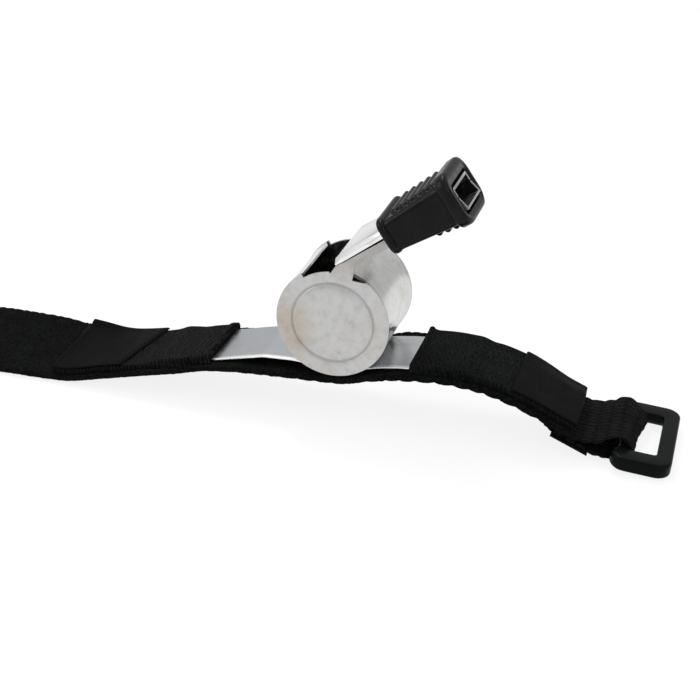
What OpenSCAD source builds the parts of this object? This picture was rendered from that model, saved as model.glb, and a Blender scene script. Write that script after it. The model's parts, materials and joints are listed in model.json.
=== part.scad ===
// Pea whistle on a hook-and-loop finger strap, in millimetres. The soldered metal whistle sits on
// a sprung plate whose arms run into two sleeves on the strap. +X runs to the ring at the strap's
// right end, +Y through the barrel and +Z up. The origin is in the middle of the footprint, on the
// surface that the strap lies on.

/* [Barrel] */
// Radius of the round side plates
cheek_r = 11; // [9.5:0.5:12.5]
// Width of the barrel over its side plates
barrel_w = 18; // [16:0.5:22]
// Thickness of the body's sheet metal
sheet_t = 0.6; // [0.4:0.05:0.8]
// Step from the edge of a side plate down to the barrel wall
rim_step = 0.15; // [0.1:0.05:0.3]
// Angle of the slot's sharp lip round the barrel
lip_angle = 120; // [114:1:126]
// Depth of the side plates' trim along the slot
slot_trim = 0.9; // [0.5:0.1:1.3]
// Depth of the notch where the neck's lower edge meets the disc
notch_depth = 1.2; // [0.8:0.1:1.4]
// Lean of the whistle back towards the tail
lean = 5.3; // [3:0.1:7]
// Radius of the plain stamped ring on each side plate
stamp_r = 8.2; // [7:0.1:8.6]
// Width of the stamped ring
stamp_w = 0.5; // [0.3:0.1:0.8]
// Depth of the stamped ring
stamp_depth = 0.12; // [0.05:0.01:0.25]
// Radius of the pea
pea_r = 5.75; // [5:0.25:6.25]
// Room between the pea and the barrel wall
pea_play = 0.15; // [0.1:0.05:0.5]

/* [Windway] */
// Angle of the windway above the plate
wind_angle = 30; // [27:0.5:33]
// Distance from the barrel's axis to the mouth, along the windway
mouth_reach = 33.4; // [31.5:0.5:38]
// Distance from the barrel's axis to the roof's top, square to the windway
roof_rise = 10.45; // [10.2:0.05:10.8]
// Outer height of the windway at its throat
throat_h = 2.85; // [2.7:0.05:3.1]
// Outer height of the windway at the mouth
mouth_h = 4.7; // [4:0.1:5.4]
// Outer width of the windway at the mouth
mouth_w = 10.4; // [9:0.1:11]
// Outer width of the windway where the grip starts
waist_w = 13.6; // [12.6:0.1:13.8]
// Width of the roof's sloping shoulders at the throat
shoulder_w = 1.45; // [1:0.05:1.6]
// Width of the roof's shoulders where the grip starts
waist_shoulder_w = 0.5; // [0.3:0.05:0.8]
// Drop of the shoulders below the roof's top
shoulder_drop = 0.6; // [0.4:0.05:0.7]
// Depth of the roof's folded sides at the throat
fold_h = 1.25; // [1:0.05:1.4]
// Depth of the roof's folded sides at the mouth
mouth_fold_h = 1.9; // [1.6:0.1:2.2]
// Slant of the mouth's end
mouth_slant = 0.6; // [0.2:0.1:1]
// Width of the neck that joins a side plate to the windway
neck_w = 3.4; // [2.8:0.1:4]

/* [Mouth grip] */
// Length of the grip
grip_l = 16; // [15:0.1:17]
// Thickness of the grip's base flange
base_flange_t = 2; // [1.5:0.1:2.5]
// Thickness of the grip's flange at the mouth
tip_flange_t = 2.6; // [2:0.1:3.2]
// Height of the base flange
base_flange_h = 7.3; // [6.8:0.1:8]
// Width of the base flange
base_flange_w = 15.8; // [15.4:0.1:16.6]
// Height of the flange at the mouth
tip_flange_h = 9.9; // [9.2:0.1:10.6]
// Width of the flange at the mouth
tip_flange_w = 14.2; // [13.4:0.1:15]
// Inset of the grip's body from its flanges
grip_inset = 0.5; // [0.3:0.05:0.6]
// Room between the grip and the metal
grip_play = 0.08; // [0.05:0.01:0.15]
// Number of ribs across the grip's top
rib_count = 6; // [4:1:6]
// Radius of a rib
rib_r = 0.55; // [0.4:0.05:0.7]

/* [Finger plate] */
// Thickness of the plate
plate_t = 0.5; // [0.4:0.05:0.8]
// Width of the plate
plate_w = 14.6; // [13:0.2:15]
// Length of the plate's arms inside the sleeves
plate_tuck = 10; // [7:0.5:12]
// Half the angle that the plate hugs the barrel
hug_angle = 20; // [16:1:22]
// Spring of the plate's tail-side arm above the tape
arm_lift = 1.5; // [1:0.1:2]

/* [Strap] */
// Width of the loop tape
tape_w = 19; // [18:0.5:20]
// Thickness of the loop tape
tape_t = 1.3; // [1.1:0.1:1.6]
// Height of the tape's underside below the barrel
arch_h = 8.7; // [7.9:0.2:10.3]
// Reach of the tape's tail from the barrel
tail_reach = 118; // [112:1:126]
// Reach of the tape towards the ring
ring_side_reach = 46.3; // [45:0.1:47.5]
// Twist of the tail where it stands on its near edge
twist_angle = 15; // [10:1:18]
// Width of the sleeves
sleeve_w = 17; // [16.4:0.1:17.8]
// Thickness of the sleeves
sleeve_t = 1.1; // [0.9:0.1:1.4]
// Distance from the barrel to the tail-side sleeve's mouth
left_sleeve_start = 24.8; // [22:0.2:27]
// Length of the ring-side sleeve, from its mouth to the fold line
right_sleeve_l = 18.6; // [16:0.2:19]
// Length of the hems at the sleeves' mouths
hem_l = 1.3; // [0.8:0.1:2]
// Thickness of the hems above the sleeves
hem_t = 0.35; // [0.2:0.05:0.6]
// Length of the strap past the ring-side fold line
ring_side_end_l = 12.6; // [11.6:0.1:13.6]
// Distance from the barrel to the tail's first fold line
tail_fold = 60.6; // [60:0.2:62]
// Distance from the barrel to the tail's second fold line
tip_fold = 82; // [76:1:84]
// Slit between two lengths of tape at a fold line
fold_slit = 0.3; // [0.2:0.05:0.5]
// Room between two layers
layer_gap = 0.05; // [0.03:0.01:0.08]
// Room under the hook patch, where the tape twists
patch_gap = 0.15; // [0.12:0.01:0.2]

/* [Labels and hook patch] */
// Width of the labels
label_w = 17.2; // [16.4:0.1:18.2]
// Thickness of the labels
label_t = 0.4; // [0.3:0.05:0.6]
// Distance from the barrel to the tail-side label
left_label_start = 41.4; // [40:0.2:44]
// Length of the tail-side label
left_label_l = 17; // [15:0.2:17.6]
// Length of the ring-side label's flap under the strap
flap_l = 7; // [6:0.2:7.6]
// Overhang of the flap past the strap's end
flap_overhang = 4; // [3.4:0.1:4.6]
// Length of the hook patch at the tail's tip
hook_l = 32; // [26:1:33]
// Thickness of the hook patch
hook_t = 0.9; // [0.6:0.1:1.3]
// Distance from the tail's tip to the hook patch
hook_margin = 1.5; // [1:0.5:2]
// Length of one stitch
stitch_l = 1.5; // [1:0.1:2]
// Distance between two stitches
stitch_pitch = 2.2; // [2.1:0.1:3]
// Thickness of the thread
thread_t = 0.3; // [0.2:0.05:0.4]

/* [Ring and webbing] */
// Distance from the strap's end to the ring's bar
web_span = 9.5; // [9:0.1:10.5]
// Radius of the bar that the webbing goes round
bar_r = 1.4; // [1.2:0.05:1.6]
// Width of the ring over its ends
ring_w = 23.5; // [22.5:0.5:26]
// Length of the ring from the bar's axis to its free edge
ring_l = 9.1; // [8.8:0.1:10.2]
// Thickness of the ring
ring_t = 2.8; // [2.6:0.1:3.2]
// Length of the ring's slot across the strap
slot_l = 15.6; // [15.4:0.1:17]
// Width of the ring's free bar
free_bar_w = 3; // [2.6:0.1:3.4]
// Radius of the ring's outer corners
ring_corner_r = 2.9; // [2:0.1:3.2]
// Chamfer of the ring's edges
ring_chamfer = 0.5; // [0.3:0.05:0.7]
// Thickness of the webbing
web_t = 0.65; // [0.6:0.05:0.8]
// Width of the webbing at the ring
web_ring_w = 15; // [14:0.1:15.2]
// Width of the webbing at the strap
web_strap_w = 17; // [16:0.1:17.6]
// Length of the webbing sewn under the strap
web_sewn_l = 4.6; // [4:0.2:6]
// Height of the webbing's loop above the bar's axis
loop_rise = 2.7; // [2.3:0.1:3.2]

/* [Hidden] */
$fn = 96;

metal_tint = "lightgray";
rubber_tint = [0.12, 0.12, 0.13];
tape_tint = [0.10, 0.10, 0.11];
sleeve_tint = [0.13, 0.13, 0.14];
label_tint = [0.16, 0.16, 0.18];
thread_tint = [0.20, 0.20, 0.21];
ring_tint = [0.09, 0.10, 0.12];
overrun = 1;

// The barrel
barrel_r = cheek_r - rim_step;
barrel_inner_r = barrel_r - sheet_t;
barrel_half = barrel_w / 2;
inner_half = barrel_half - sheet_t;
axis_z = arch_h + tape_t + layer_gap + plate_t + barrel_r;
pea_offset = barrel_inner_r - pea_play - pea_r;
trim_end_angle = 84;
notch_angle = 62.5;
notch_end_angle = 47;
trim_lead_angle = 1.5;

// The windway, in distances s along it and n square to it from the barrel's axis
tongue_bend = barrel_inner_r - sheet_t - sheet_t + 0.15 * sheet_t;
floor_tip = sqrt(pow(barrel_inner_r, 2) - pow(roof_rise - throat_h, 2)) + layer_gap;
lip_start = floor_tip + sheet_t / 2;
bevel_end = lip_start + 2.4 * sheet_t;
bevel_drop = 0.6 * sheet_t;
seam_gap = sheet_t / 7;
throat_n = roof_rise - throat_h;
mouth_n = roof_rise - mouth_h;
function underside(s) = throat_n + (mouth_n - throat_n) * (s - floor_tip) / (mouth_reach - floor_tip);
function seam(s) = roof_rise - fold_h - (mouth_fold_h - fold_h) * (s - tongue_bend) / (mouth_reach - tongue_bend);
top_end = mouth_reach - mouth_slant / 2;
low_end = mouth_reach + mouth_slant / 2;
grip_start = mouth_reach - grip_l;
neck_back = floor_tip - 2.6 * sheet_t;
neck_top = floor_tip;
neck_front = neck_top + neck_w;
neck_foot_n = throat_n * 0.7;
neck_foot_share = 0.55;

// The mouth grip
grip_end = mouth_reach - mouth_slant / 6;
body_start = grip_start + base_flange_t;
body_end = grip_end - tip_flange_t;
body_l = body_end - body_start;
rib_pitch = 0.155 * body_l;
first_rib = body_start + 0.147 * body_l;
base_flange_low = underside(grip_start) - (base_flange_h - (roof_rise - underside(grip_start))) / 2;
tip_flange_low = mouth_n - (tip_flange_h - mouth_h) * 0.46;
base_corner_r = base_flange_h * 0.26;
tip_corner_r = tip_flange_h * 0.32;
body_corner_r = base_corner_r - grip_inset;
slab_t = sheet_t / 2;
low_rib_count = 3;
rib_sink_share = 0.35;
rib_span_share = 0.66;

// The strap's course: shares of the reach, of the arch's height and of the tail's twist
tail_course_shares = [
    [-1, 0, 0], [-0.88, 0, 0], [-0.78, 0, 0.45], [-0.66, 0, 1], [-0.55, 0, 0.93],
    [-0.483, 0.03, 0.6], [-0.413, 0.23, 0.12], [-0.34, 0.46, 0], [-0.27, 0.67, 0],
    [-0.22, 0.84, 0], [-0.157, 0.93, 0], [-0.07, 0.975, 0]
];
ring_course_shares = [
    [0, 1, 0], [0.05, 1.022, 0], [0.151, 1.16, 0], [0.292, 1.31, 0], [0.458, 1.37, 0],
    [0.622, 1.295, 0], [0.726, 1.145, 0], [0.83, 0.94, 0], [0.933, 0.68, 0], [1.02, 0.48, 0],
    [1.12, 0.25, 0]
];
course = concat(
    [for (row = tail_course_shares) [row[0] * tail_reach, row[1] * arch_h, row[2] * twist_angle]],
    [for (row = ring_course_shares) [row[0] * ring_side_reach, row[1] * arch_h, row[2] * twist_angle]]
);
course_step = 1.5;
half_tape = tape_w / 2;
right_fold = ring_side_reach - ring_side_end_l;
right_sleeve_start = right_fold - right_sleeve_l;
plate_left = left_sleeve_start + plate_tuck;
plate_right = right_sleeve_start + plate_tuck;
ring_reach = ring_side_reach + web_span;
sleeve_half = sleeve_w / 2;
sleeve_ramp = 3 * sleeve_t;
label_half = label_w / 2;
flap_half = label_half + label_t;
tape_edge = tape_t / 4;

// The finger plate's arms: shares of the way from the barrel to a sleeve, and of the arm's lift
left_arm_shares = [[0.07, 0.74], [0.245, 1], [0.485, 1], [0.63, 0.68]];
right_arm_shares = [[0.155, 0.15], [0.375, 0.2], [0.715, 0.05]];
hug_x = barrel_r * sin(hug_angle);
plate_low_z = arch_h + tape_t + layer_gap;
fillet_start = hug_x * 1.3;
fillet_end = hug_x * 1.75;

// The ring and the webbing round its bar
bar_z = web_t + layer_gap + bar_r;
wrap_r = bar_r + layer_gap + web_t / 2;
ring_low_reach = norm([ring_l - ring_chamfer, ring_t / 2]);
ring_tilt = asin(bar_z / ring_low_reach) - atan(ring_t / 2 / (ring_l - ring_chamfer));
web_top_t = -(tape_t / 2 + layer_gap + web_t / 2);
web_low_t = web_top_t - web_t - layer_gap;
flap_top_t = web_low_t - web_t / 2 - 2 * layer_gap;

// The middle of the footprint, from the barrel's axis
ring_front = ring_reach + ring_l * cos(ring_tilt) + (ring_t / 2 - ring_chamfer) * sin(ring_tilt);
middle_x = (ring_front - tail_reach) / 2;

function unit(v) = v / norm(v);
function steps(a, b, most) = let (n = max(1, ceil(abs(b - a) / most))) [for (i = [0:n]) a + (b - a) * i / n];

// A smooth curve through rows of [x, value, ...], which never overshoots a row's value
function row_before(rows, x, i = 0) = i >= len(rows) - 2 || x < rows[i + 1][0] ? i : row_before(rows, x, i + 1);
function chord(rows, i, k) = (rows[i + 1][k] - rows[i][k]) / (rows[i + 1][0] - rows[i][0]);
function row_slope(rows, i, k) =
    i == 0 ? chord(rows, 0, k)
    : i == len(rows) - 1 ? chord(rows, i - 1, k)
    : let (a = chord(rows, i - 1, k), b = chord(rows, i, k)) a * b <= 0 ? 0 : 2 * a * b / (a + b);
function curve(rows, x, k) =
    let (
        i = row_before(rows, x),
        span = rows[i + 1][0] - rows[i][0],
        u = (x - rows[i][0]) / span,
        a = row_slope(rows, i, k) * span,
        b = row_slope(rows, i + 1, k) * span
    )
    rows[i][k] * (1 + 2 * u) * pow(1 - u, 2) + a * u * pow(1 - u, 2)
    + rows[i + 1][k] * u * u * (3 - 2 * u) + b * u * u * (u - 1);

// The tape's middle surface: x along it, y across it and t square to it
function twist(x) = curve(course, x, 2);
function tape_z(x) = curve(course, x, 1) + half_tape * sin(twist(x)) + tape_t / 2 * cos(twist(x));
function tape_slope(x) = (tape_z(x + layer_gap) - tape_z(x - layer_gap)) / (2 * layer_gap);
function across(x) = [0, cos(twist(x)), sin(twist(x))];
function square_to(x) = unit(cross([1, 0, tape_slope(x)], across(x)));
function on_tape(x, y, t) = [x, 0, tape_z(x)] + y * across(x) + t * square_to(x);

// The plate's outline by x from the barrel's axis: it hugs the barrel, lies on the tape in the
// sleeves, and springs off it between the two. The side is 1 for its top and 0 for its underside.
function hug_z(x, side) =
    let (r = barrel_r + (side == 1 ? 0.4 * layer_gap : plate_t)) axis_z - sqrt(r * r - x * x);
function seat(x, lift, side) =
    let (p = on_tape(x, 0, tape_t / 2 + layer_gap + lift + plate_t * side)) [p[0], p[2]];
function lift_rows(side, shares, mouth) = concat(
    [[hug_x, hug_z(hug_x, 0) - seat(side * hug_x, 0, 0)[1]]],
    [for (row = shares) [hug_x + row[0] * (mouth - hug_x), row[1] * arm_lift]],
    [for (x = [mouth, mouth + hem_l]) [x, 0]]
);
left_lift = lift_rows(-1, left_arm_shares, left_sleeve_start);
right_lift = lift_rows(1, right_arm_shares, right_sleeve_start);
function plate_row(x, side) =
    abs(x) <= hug_x ? [x, hug_z(x, side)]
    : x < -left_sleeve_start || x > right_sleeve_start ? seat(x, 0, side)
    : seat(x, x < 0 ? curve(left_lift, -x, 1) : curve(right_lift, x, 1), side);

// How far a sleeve's underside stands off the tape's middle surface
function ramp(u) = let (v = min(1, max(0, u))) v * v * (3 - 2 * v);
function sleeve_low(x) =
    let (past = x < 0 ? -x - plate_left : x - plate_right)
    tape_t / 2 + layer_gap + (plate_t + layer_gap) * (1 - ramp(past / sleeve_ramp));

// Moves a piece from the barrel's foot to the part's own origin
module placed() { translate([-middle_x, 0, 0]) children(); }

// The whistle's own frame, with the barrel's axis at its origin
module on_whistle() { placed() translate([0, 0, axis_z]) rotate([0, -lean, 0]) children(); }

// The windway's frame: X along it, Z square to it
module on_windway() { on_whistle() rotate([0, -wind_angle, 0]) children(); }

// Stands an outline of x and z up, and gives it its width from y0 to y1
module upright(y0, y1) { translate([0, y1, 0]) rotate([90, 0, 0]) linear_extrude(y1 - y0) children(); }

// A closed skin over rings of points, its two ends cut up as the given caps say
module skin(rings, caps) {
    n = len(rings[0]);
    m = len(rings);
    ends = is_undef(caps) ? [[for (j = [0:n - 1]) j]] : caps;
    polyhedron(
        points = [for (ring = rings) each ring],
        faces = concat(
            ends,
            [for (i = [0:m - 2], j = [0:n - 1]) [i * n + j, (i + 1) * n + j, (i + 1) * n + (j + 1) % n]],
            [for (i = [0:m - 2], j = [0:n - 1]) [i * n + j, (i + 1) * n + (j + 1) % n, i * n + (j + 1) % n]],
            [for (cap = ends) [for (j = [len(cap) - 1:-1:0]) (m - 1) * n + cap[j]]]
        )
    );
}

// A layer of the strap from x0 to x1, y0 to y1, between two heights off the tape's middle surface
module layer(x0, x1, y0, y1, low, high) {
    skin([
        for (x = steps(x0, x1, course_step))
            [on_tape(x, y0, low(x)), on_tape(x, y0, high(x)), on_tape(x, y1, high(x)), on_tape(x, y1, low(x))]
    ]);
}

// A length of the loop tape, with its edges eased
module tape(x0, x1) {
    h = tape_t / 2;
    skin([
        for (x = steps(x0, x1, course_step))
            [
                for (corner = [
                    [-half_tape + tape_edge, -h], [-half_tape, -h + tape_edge],
                    [-half_tape, h - tape_edge], [-half_tape + tape_edge, h],
                    [half_tape - tape_edge, h], [half_tape, h - tape_edge],
                    [half_tape, -h + tape_edge], [half_tape - tape_edge, -h]
                ]) on_tape(x, corner[0], corner[1])
            ]
    ]);
}

// A row of stitches on a surface that stands off the tape's middle by the given function
module stitch_row(x0, x1, y, high) {
    for (x = [x0 + stitch_l / 2:stitch_pitch:x1 - stitch_l])
        layer(x, x + stitch_l, y - thread_t / 2, y + thread_t / 2,
            function (x) high(x) + layer_gap / 2, function (x) high(x) + thread_t);
}

// A row of stitches across the strap
module cross_row(x, y0, y1, high) {
    for (y = [y0 + stitch_l / 2:stitch_pitch:y1 - stitch_l])
        layer(x - thread_t / 2, x + thread_t / 2, y, y + stitch_l,
            function (x) high(x) + layer_gap / 2, function (x) high(x) + thread_t);
}

// Half the windway's outer width, from the barrel to the mouth
function plan_rows(inset) = [
    [-cheek_r - overrun, barrel_half - inset], [tongue_bend, barrel_half - inset],
    [grip_start, waist_w / 2 - inset], [mouth_reach + overrun, mouth_w / 2 - inset]
];

// The windway's outline from above, less an inset, as deep as it needs to be
module windway_plan(inset) {
    rows = plan_rows(inset);
    translate([0, 0, -cheek_r]) linear_extrude(3 * cheek_r) polygon(concat(
        [for (row = rows) [row[0], -row[1]]],
        [for (i = [len(rows) - 1:-1:0]) [rows[i][0], rows[i][1]]]
    ));
}

// One side plate: disc, neck and the tongue that closes the windway's side
module cheek() {
    color(metal_tint) {
        on_whistle() difference() {
            upright(-barrel_half, -inner_half) difference() {
                circle(cheek_r);
                difference() {
                    polygon([
                        [0, 0],
                        for (a = [trim_end_angle, lip_angle - trim_lead_angle]) 2 * cheek_r * [cos(a), sin(a)]
                    ]);
                    circle(cheek_r - slot_trim);
                }
                polygon([
                    (cheek_r - notch_depth) * [cos(notch_angle), sin(notch_angle)],
                    (cheek_r + seam_gap) * [cos(notch_end_angle), sin(notch_end_angle)],
                    for (a = [notch_end_angle, notch_angle]) 2 * cheek_r * [cos(a), sin(a)]
                ]);
            }
            upright(-barrel_half - overrun, -barrel_half + stamp_depth) difference() {
                circle(stamp_r);
                circle(stamp_r - stamp_w);
            }
        }
        on_windway() intersection() {
            upright(-barrel_half, 0) polygon([
                [neck_back, sqrt(pow(cheek_r - slot_trim, 2) - pow(neck_back, 2)) - sheet_t],
                [neck_back, sqrt(pow(cheek_r - slot_trim, 2) - pow(neck_back, 2))],
                [neck_top, seam(neck_top) - seam_gap],
                [top_end, seam(top_end) - seam_gap],
                [low_end, underside(low_end)],
                [neck_front, underside(neck_front)],
                [neck_front - neck_w * neck_foot_share, neck_foot_n],
                [neck_back, neck_foot_n]
            ]);
            difference() {
                windway_plan(0);
                windway_plan(sheet_t);
            }
        }
    }
}

module front_cheek() { cheek(); }

module rear_cheek() { mirror([0, 1, 0]) cheek(); }

// The rolled strip round the barrel, open at the slot and cut off under the windway's floor
module barrel_wall() {
    reach = 2 * cheek_r;
    color(metal_tint) on_whistle() upright(-inner_half, inner_half) difference() {
        circle(barrel_r);
        circle(barrel_inner_r);
        polygon([[0, 0], for (a = [trim_end_angle, lip_angle]) reach * [cos(a), sin(a)]]);
        rotate(wind_angle) polygon([
            [0, underside(0)], [reach, underside(reach)], [reach, reach], [0, reach]
        ]);
    }
}

module windway_floor() {
    color(metal_tint) on_windway() intersection() {
        upright(-barrel_half, barrel_half) polygon([
            [floor_tip, underside(floor_tip)], [low_end, underside(low_end)],
            [low_end, underside(low_end) + sheet_t], [floor_tip, underside(floor_tip) + sheet_t]
        ]);
        windway_plan(sheet_t);
    }
}

// Half the windway's outer width, and the width and drop of the roof's shoulders, by s
wing_rows = [
    [lip_start, barrel_half, shoulder_w, shoulder_drop], [tongue_bend, barrel_half, shoulder_w, shoulder_drop],
    [grip_start, waist_w / 2, waist_shoulder_w, shoulder_drop], [top_end, mouth_w / 2, sheet_t / 3, sheet_t / 3]
];

// The roof: a channel with sloping shoulders and folded sides, bent down at its lip over the slot
module windway_roof() {
    s_rows = [lip_start, bevel_end, tongue_bend, grip_start, top_end];
    function wing(s, k) = let (i = row_before(wing_rows, s))
        wing_rows[i][k] + chord(wing_rows, i, k) * (s - wing_rows[i][0]);
    function high(s) = roof_rise - bevel_drop * max(0, (bevel_end - s) / (bevel_end - lip_start));
    color(metal_tint) on_windway() skin(
        [
            for (s = s_rows)
                let (
                    w = s <= tongue_bend ? barrel_half : wing(s, 1), top_w = w - wing(s, 2), top = high(s),
                    side = top - wing(s, 3), low = seam(s), t = sheet_t
                )
                    [
                        for (corner = [
                            [-w, low], [-w, side], [-top_w, top], [top_w, top], [w, side], [w, low],
                            [w - t, low], [w - t, side - t / 2], [top_w - t / 2, top - t],
                            [t / 2 - top_w, top - t], [t - w, side - t / 2], [t - w, low]
                        ]) [s, corner[0], corner[1]]
                    ]
        ],
        [[0, 1, 10, 11], [1, 2, 9, 10], [2, 3, 8, 9], [3, 4, 7, 8], [4, 5, 6, 7]]
    );
}

// Solder in the two corners between the barrel and the plate
module solder_fillets() {
    xs = steps(fillet_start, fillet_end, sheet_t / 2);
    plate_top = [for (x = steps(-2 * fillet_end, 2 * fillet_end, sheet_t)) plate_row(x, 1)];
    function under_barrel(x) = axis_z - sqrt(barrel_r * barrel_r - x * x) - layer_gap / 5;
    color(metal_tint) placed() upright(-plate_w / 2, plate_w / 2) for (side = [-1, 1]) polygon(concat(
        [for (x = xs) [side * x, lookup(side * x, plate_top) + layer_gap / 2]],
        [for (i = [len(xs) - 1:-1:0]) [side * xs[i], under_barrel(xs[i])]]
    ));
}

// A block across the windway with rounded corners, from s0 to s1
module grip_slab(s, t, low, high, w, r) {
    translate([s, 0, (low + high) / 2]) rotate([90, 0, 90]) linear_extrude(t) hull()
        for (a = [-1, 1], b = [-1, 1]) translate([a * (w / 2 - r), b * ((high - low) / 2 - r)]) circle(r, $fn = 32);
}

// The soft grip over the mouth end: two flanges, a body between them and ribs across it
module mouth_grip() {
    base_low = base_flange_low + grip_inset / 5;
    base_high = base_flange_low + base_flange_h - grip_inset;
    tip_low = tip_flange_low + 1.8 * grip_inset;
    tip_high = tip_flange_low + tip_flange_h - 2 * grip_inset;
    function share(s) = (s - body_start) / body_l;
    function body_top(s) = base_high + (tip_high - base_high) * share(s);
    function body_low(s) = base_low + (tip_low - base_low) * share(s);
    color(rubber_tint) on_windway() difference() {
        union() {
            grip_slab(grip_start, base_flange_t, base_flange_low, base_flange_low + base_flange_h,
                base_flange_w, base_corner_r);
            grip_slab(body_end, tip_flange_t, tip_flange_low, tip_flange_low + tip_flange_h,
                tip_flange_w, tip_corner_r);
            hull() {
                grip_slab(body_start - slab_t, slab_t, base_low, base_high,
                    base_flange_w - 2 * grip_inset, body_corner_r);
                grip_slab(body_end, slab_t, tip_low, tip_high,
                    tip_flange_w - 2 * grip_inset, body_corner_r);
            }
            for (i = [0:rib_count - 1]) {
                s = first_rib + i * rib_pitch;
                span = base_flange_w * rib_span_share;
                translate([s, span / 2, body_top(s) - rib_r * rib_sink_share]) rotate([90, 0, 0])
                    cylinder(r = rib_r, h = span, $fn = 24);
            }
            for (i = [1:low_rib_count]) {
                s = body_end - (i - 1) * rib_pitch - 2 * rib_r;
                span = base_flange_w * rib_span_share;
                translate([s, span / 2, body_low(s) + rib_r * rib_sink_share]) rotate([90, 0, 0])
                    cylinder(r = rib_r, h = span, $fn = 24);
            }
        }
        intersection() {
            upright(-barrel_half, barrel_half) polygon([
                [grip_start - overrun, underside(grip_start - overrun) - grip_play],
                [mouth_reach + overrun, underside(mouth_reach + overrun) - grip_play],
                [mouth_reach + overrun, roof_rise + grip_play],
                [grip_start - overrun, roof_rise + grip_play]
            ]);
            windway_plan(-grip_play);
        }
    }
}

// The sprung plate: it hugs the barrel and its arms run into the sleeves
module finger_plate() {
    xs = concat(
        steps(-plate_left, -hug_x, course_step), steps(-hug_x, hug_x, sheet_t),
        steps(hug_x, plate_right, course_step)
    );
    shown = [for (i = [0:len(xs) - 1]) if (i == 0 || xs[i] > xs[i - 1]) xs[i]];
    color(metal_tint) placed() upright(-plate_w / 2, plate_w / 2) polygon(concat(
        [for (x = shown) plate_row(x, 1)],
        [for (i = [len(shown) - 1:-1:0]) plate_row(shown[i], 0)]
    ));
}

module pea() { color("tan") on_whistle() rotate([0, lean, 0]) translate([0, 0, -pea_offset]) sphere(pea_r); }

module strap_middle() { color(tape_tint) placed() tape(-tail_fold + fold_slit / 2, right_fold - fold_slit / 2); }

module strap_right_end() { color(tape_tint) placed() tape(right_fold + fold_slit / 2, ring_side_reach); }

module strap_tail() { color(tape_tint) placed() tape(-tip_fold + fold_slit / 2, -tail_fold - fold_slit / 2); }

module strap_tail_tip() { color(tape_tint) placed() tape(-tail_reach, -tip_fold - fold_slit / 2); }

// A sleeve from its mouth at x0 to x1: a top, two sides down to the tape, a rolled hem at the mouth
module sleeve(x0, x1, hemmed) {
    w = sleeve_half;
    inner = plate_w / 2 + layer_gap;
    foot = tape_t / 2 + layer_gap;
    hem_end = x0 + hem_l * (x1 > x0 ? 1 : -1);
    xs = hemmed ? concat(steps(x0, hem_end, hem_l / 6), steps(hem_end, x1, course_step)) : steps(x0, x1, course_step);
    walk = [for (i = [0:len(xs) - 1]) if (i == 0 || xs[i] != xs[i - 1]) xs[i]];
    line = x1 > x0 ? walk : [for (i = [len(walk) - 1:-1:0]) walk[i]];
    function hem(x) = hemmed ? hem_t * sqrt(max(0, sin(180 * min(1, abs(x - x0) / hem_l)))) : 0;
    skin(
        [
            for (x = line)
                let (low = sleeve_low(x), high = low + sleeve_t + hem(x))
                    [
                        for (corner = [
                            [-w, foot], [-w, high], [w, high], [w, foot],
                            [inner, foot], [inner, low], [-inner, low], [-inner, foot]
                        ]) on_tape(x, corner[0], corner[1])
                    ]
        ],
        [[0, 1, 6, 7], [1, 2, 5, 6], [2, 3, 4, 5]]
    );
}

left_sleeve_end = left_label_start + left_label_l;

module left_sleeve() { color(sleeve_tint) placed() sleeve(-left_sleeve_start, -left_sleeve_end, true); }

module right_sleeve() { color(sleeve_tint) placed() sleeve(right_sleeve_start, right_fold - fold_slit / 2, true); }

module right_sleeve_end() { color(sleeve_tint) placed() sleeve(right_fold + fold_slit / 2, ring_side_reach, false); }

function on_sleeve(x) = sleeve_low(x) + sleeve_t + layer_gap;

module left_label() {
    color(label_tint) placed() layer(-left_sleeve_end, -left_label_start, -label_half, label_half,
        function (x) on_sleeve(x), function (x) on_sleeve(x) + label_t);
}

module right_label() {
    color(label_tint) placed() layer(right_fold + fold_slit / 2, ring_side_reach, -label_half, label_half,
        function (x) on_sleeve(x), function (x) on_sleeve(x) + label_t);
}

// The ring-side label's other end, turned back under the webbing
module label_flap() {
    flap_end = ring_side_reach + flap_overhang;
    color(label_tint) placed() layer(flap_end - flap_l, flap_end, -flap_half, flap_half,
        function (x) flap_top_t - label_t, function (x) flap_top_t);
}

function on_label(x) = on_sleeve(x) + label_t;

module left_label_stitches() {
    color(thread_tint) placed() {
        for (x = [-left_sleeve_end + thread_t * 3, -left_label_start - thread_t * 3])
            cross_row(x, -label_half, label_half, function (x) on_label(x));
    }
}

module left_sleeve_stitches() {
    y = sleeve_half - thread_t * 2;
    color(thread_tint) placed() for (side = [-1, 1])
        stitch_row(-left_label_start + stitch_l, -left_sleeve_start - hem_l, side * y,
            function (x) sleeve_low(x) + sleeve_t);
}

module right_sleeve_stitches() {
    y = sleeve_half - thread_t * 2;
    color(thread_tint) placed() for (side = [-1, 1])
        stitch_row(right_sleeve_start + hem_l, right_fold - fold_slit, side * y,
            function (x) sleeve_low(x) + sleeve_t);
}

module right_label_stitches() {
    color(thread_tint) placed() {
        for (x = [right_fold + fold_slit + thread_t * 3, ring_side_reach - thread_t * 3])
            cross_row(x, -label_half, label_half, function (x) on_label(x));
    }
}

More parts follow.
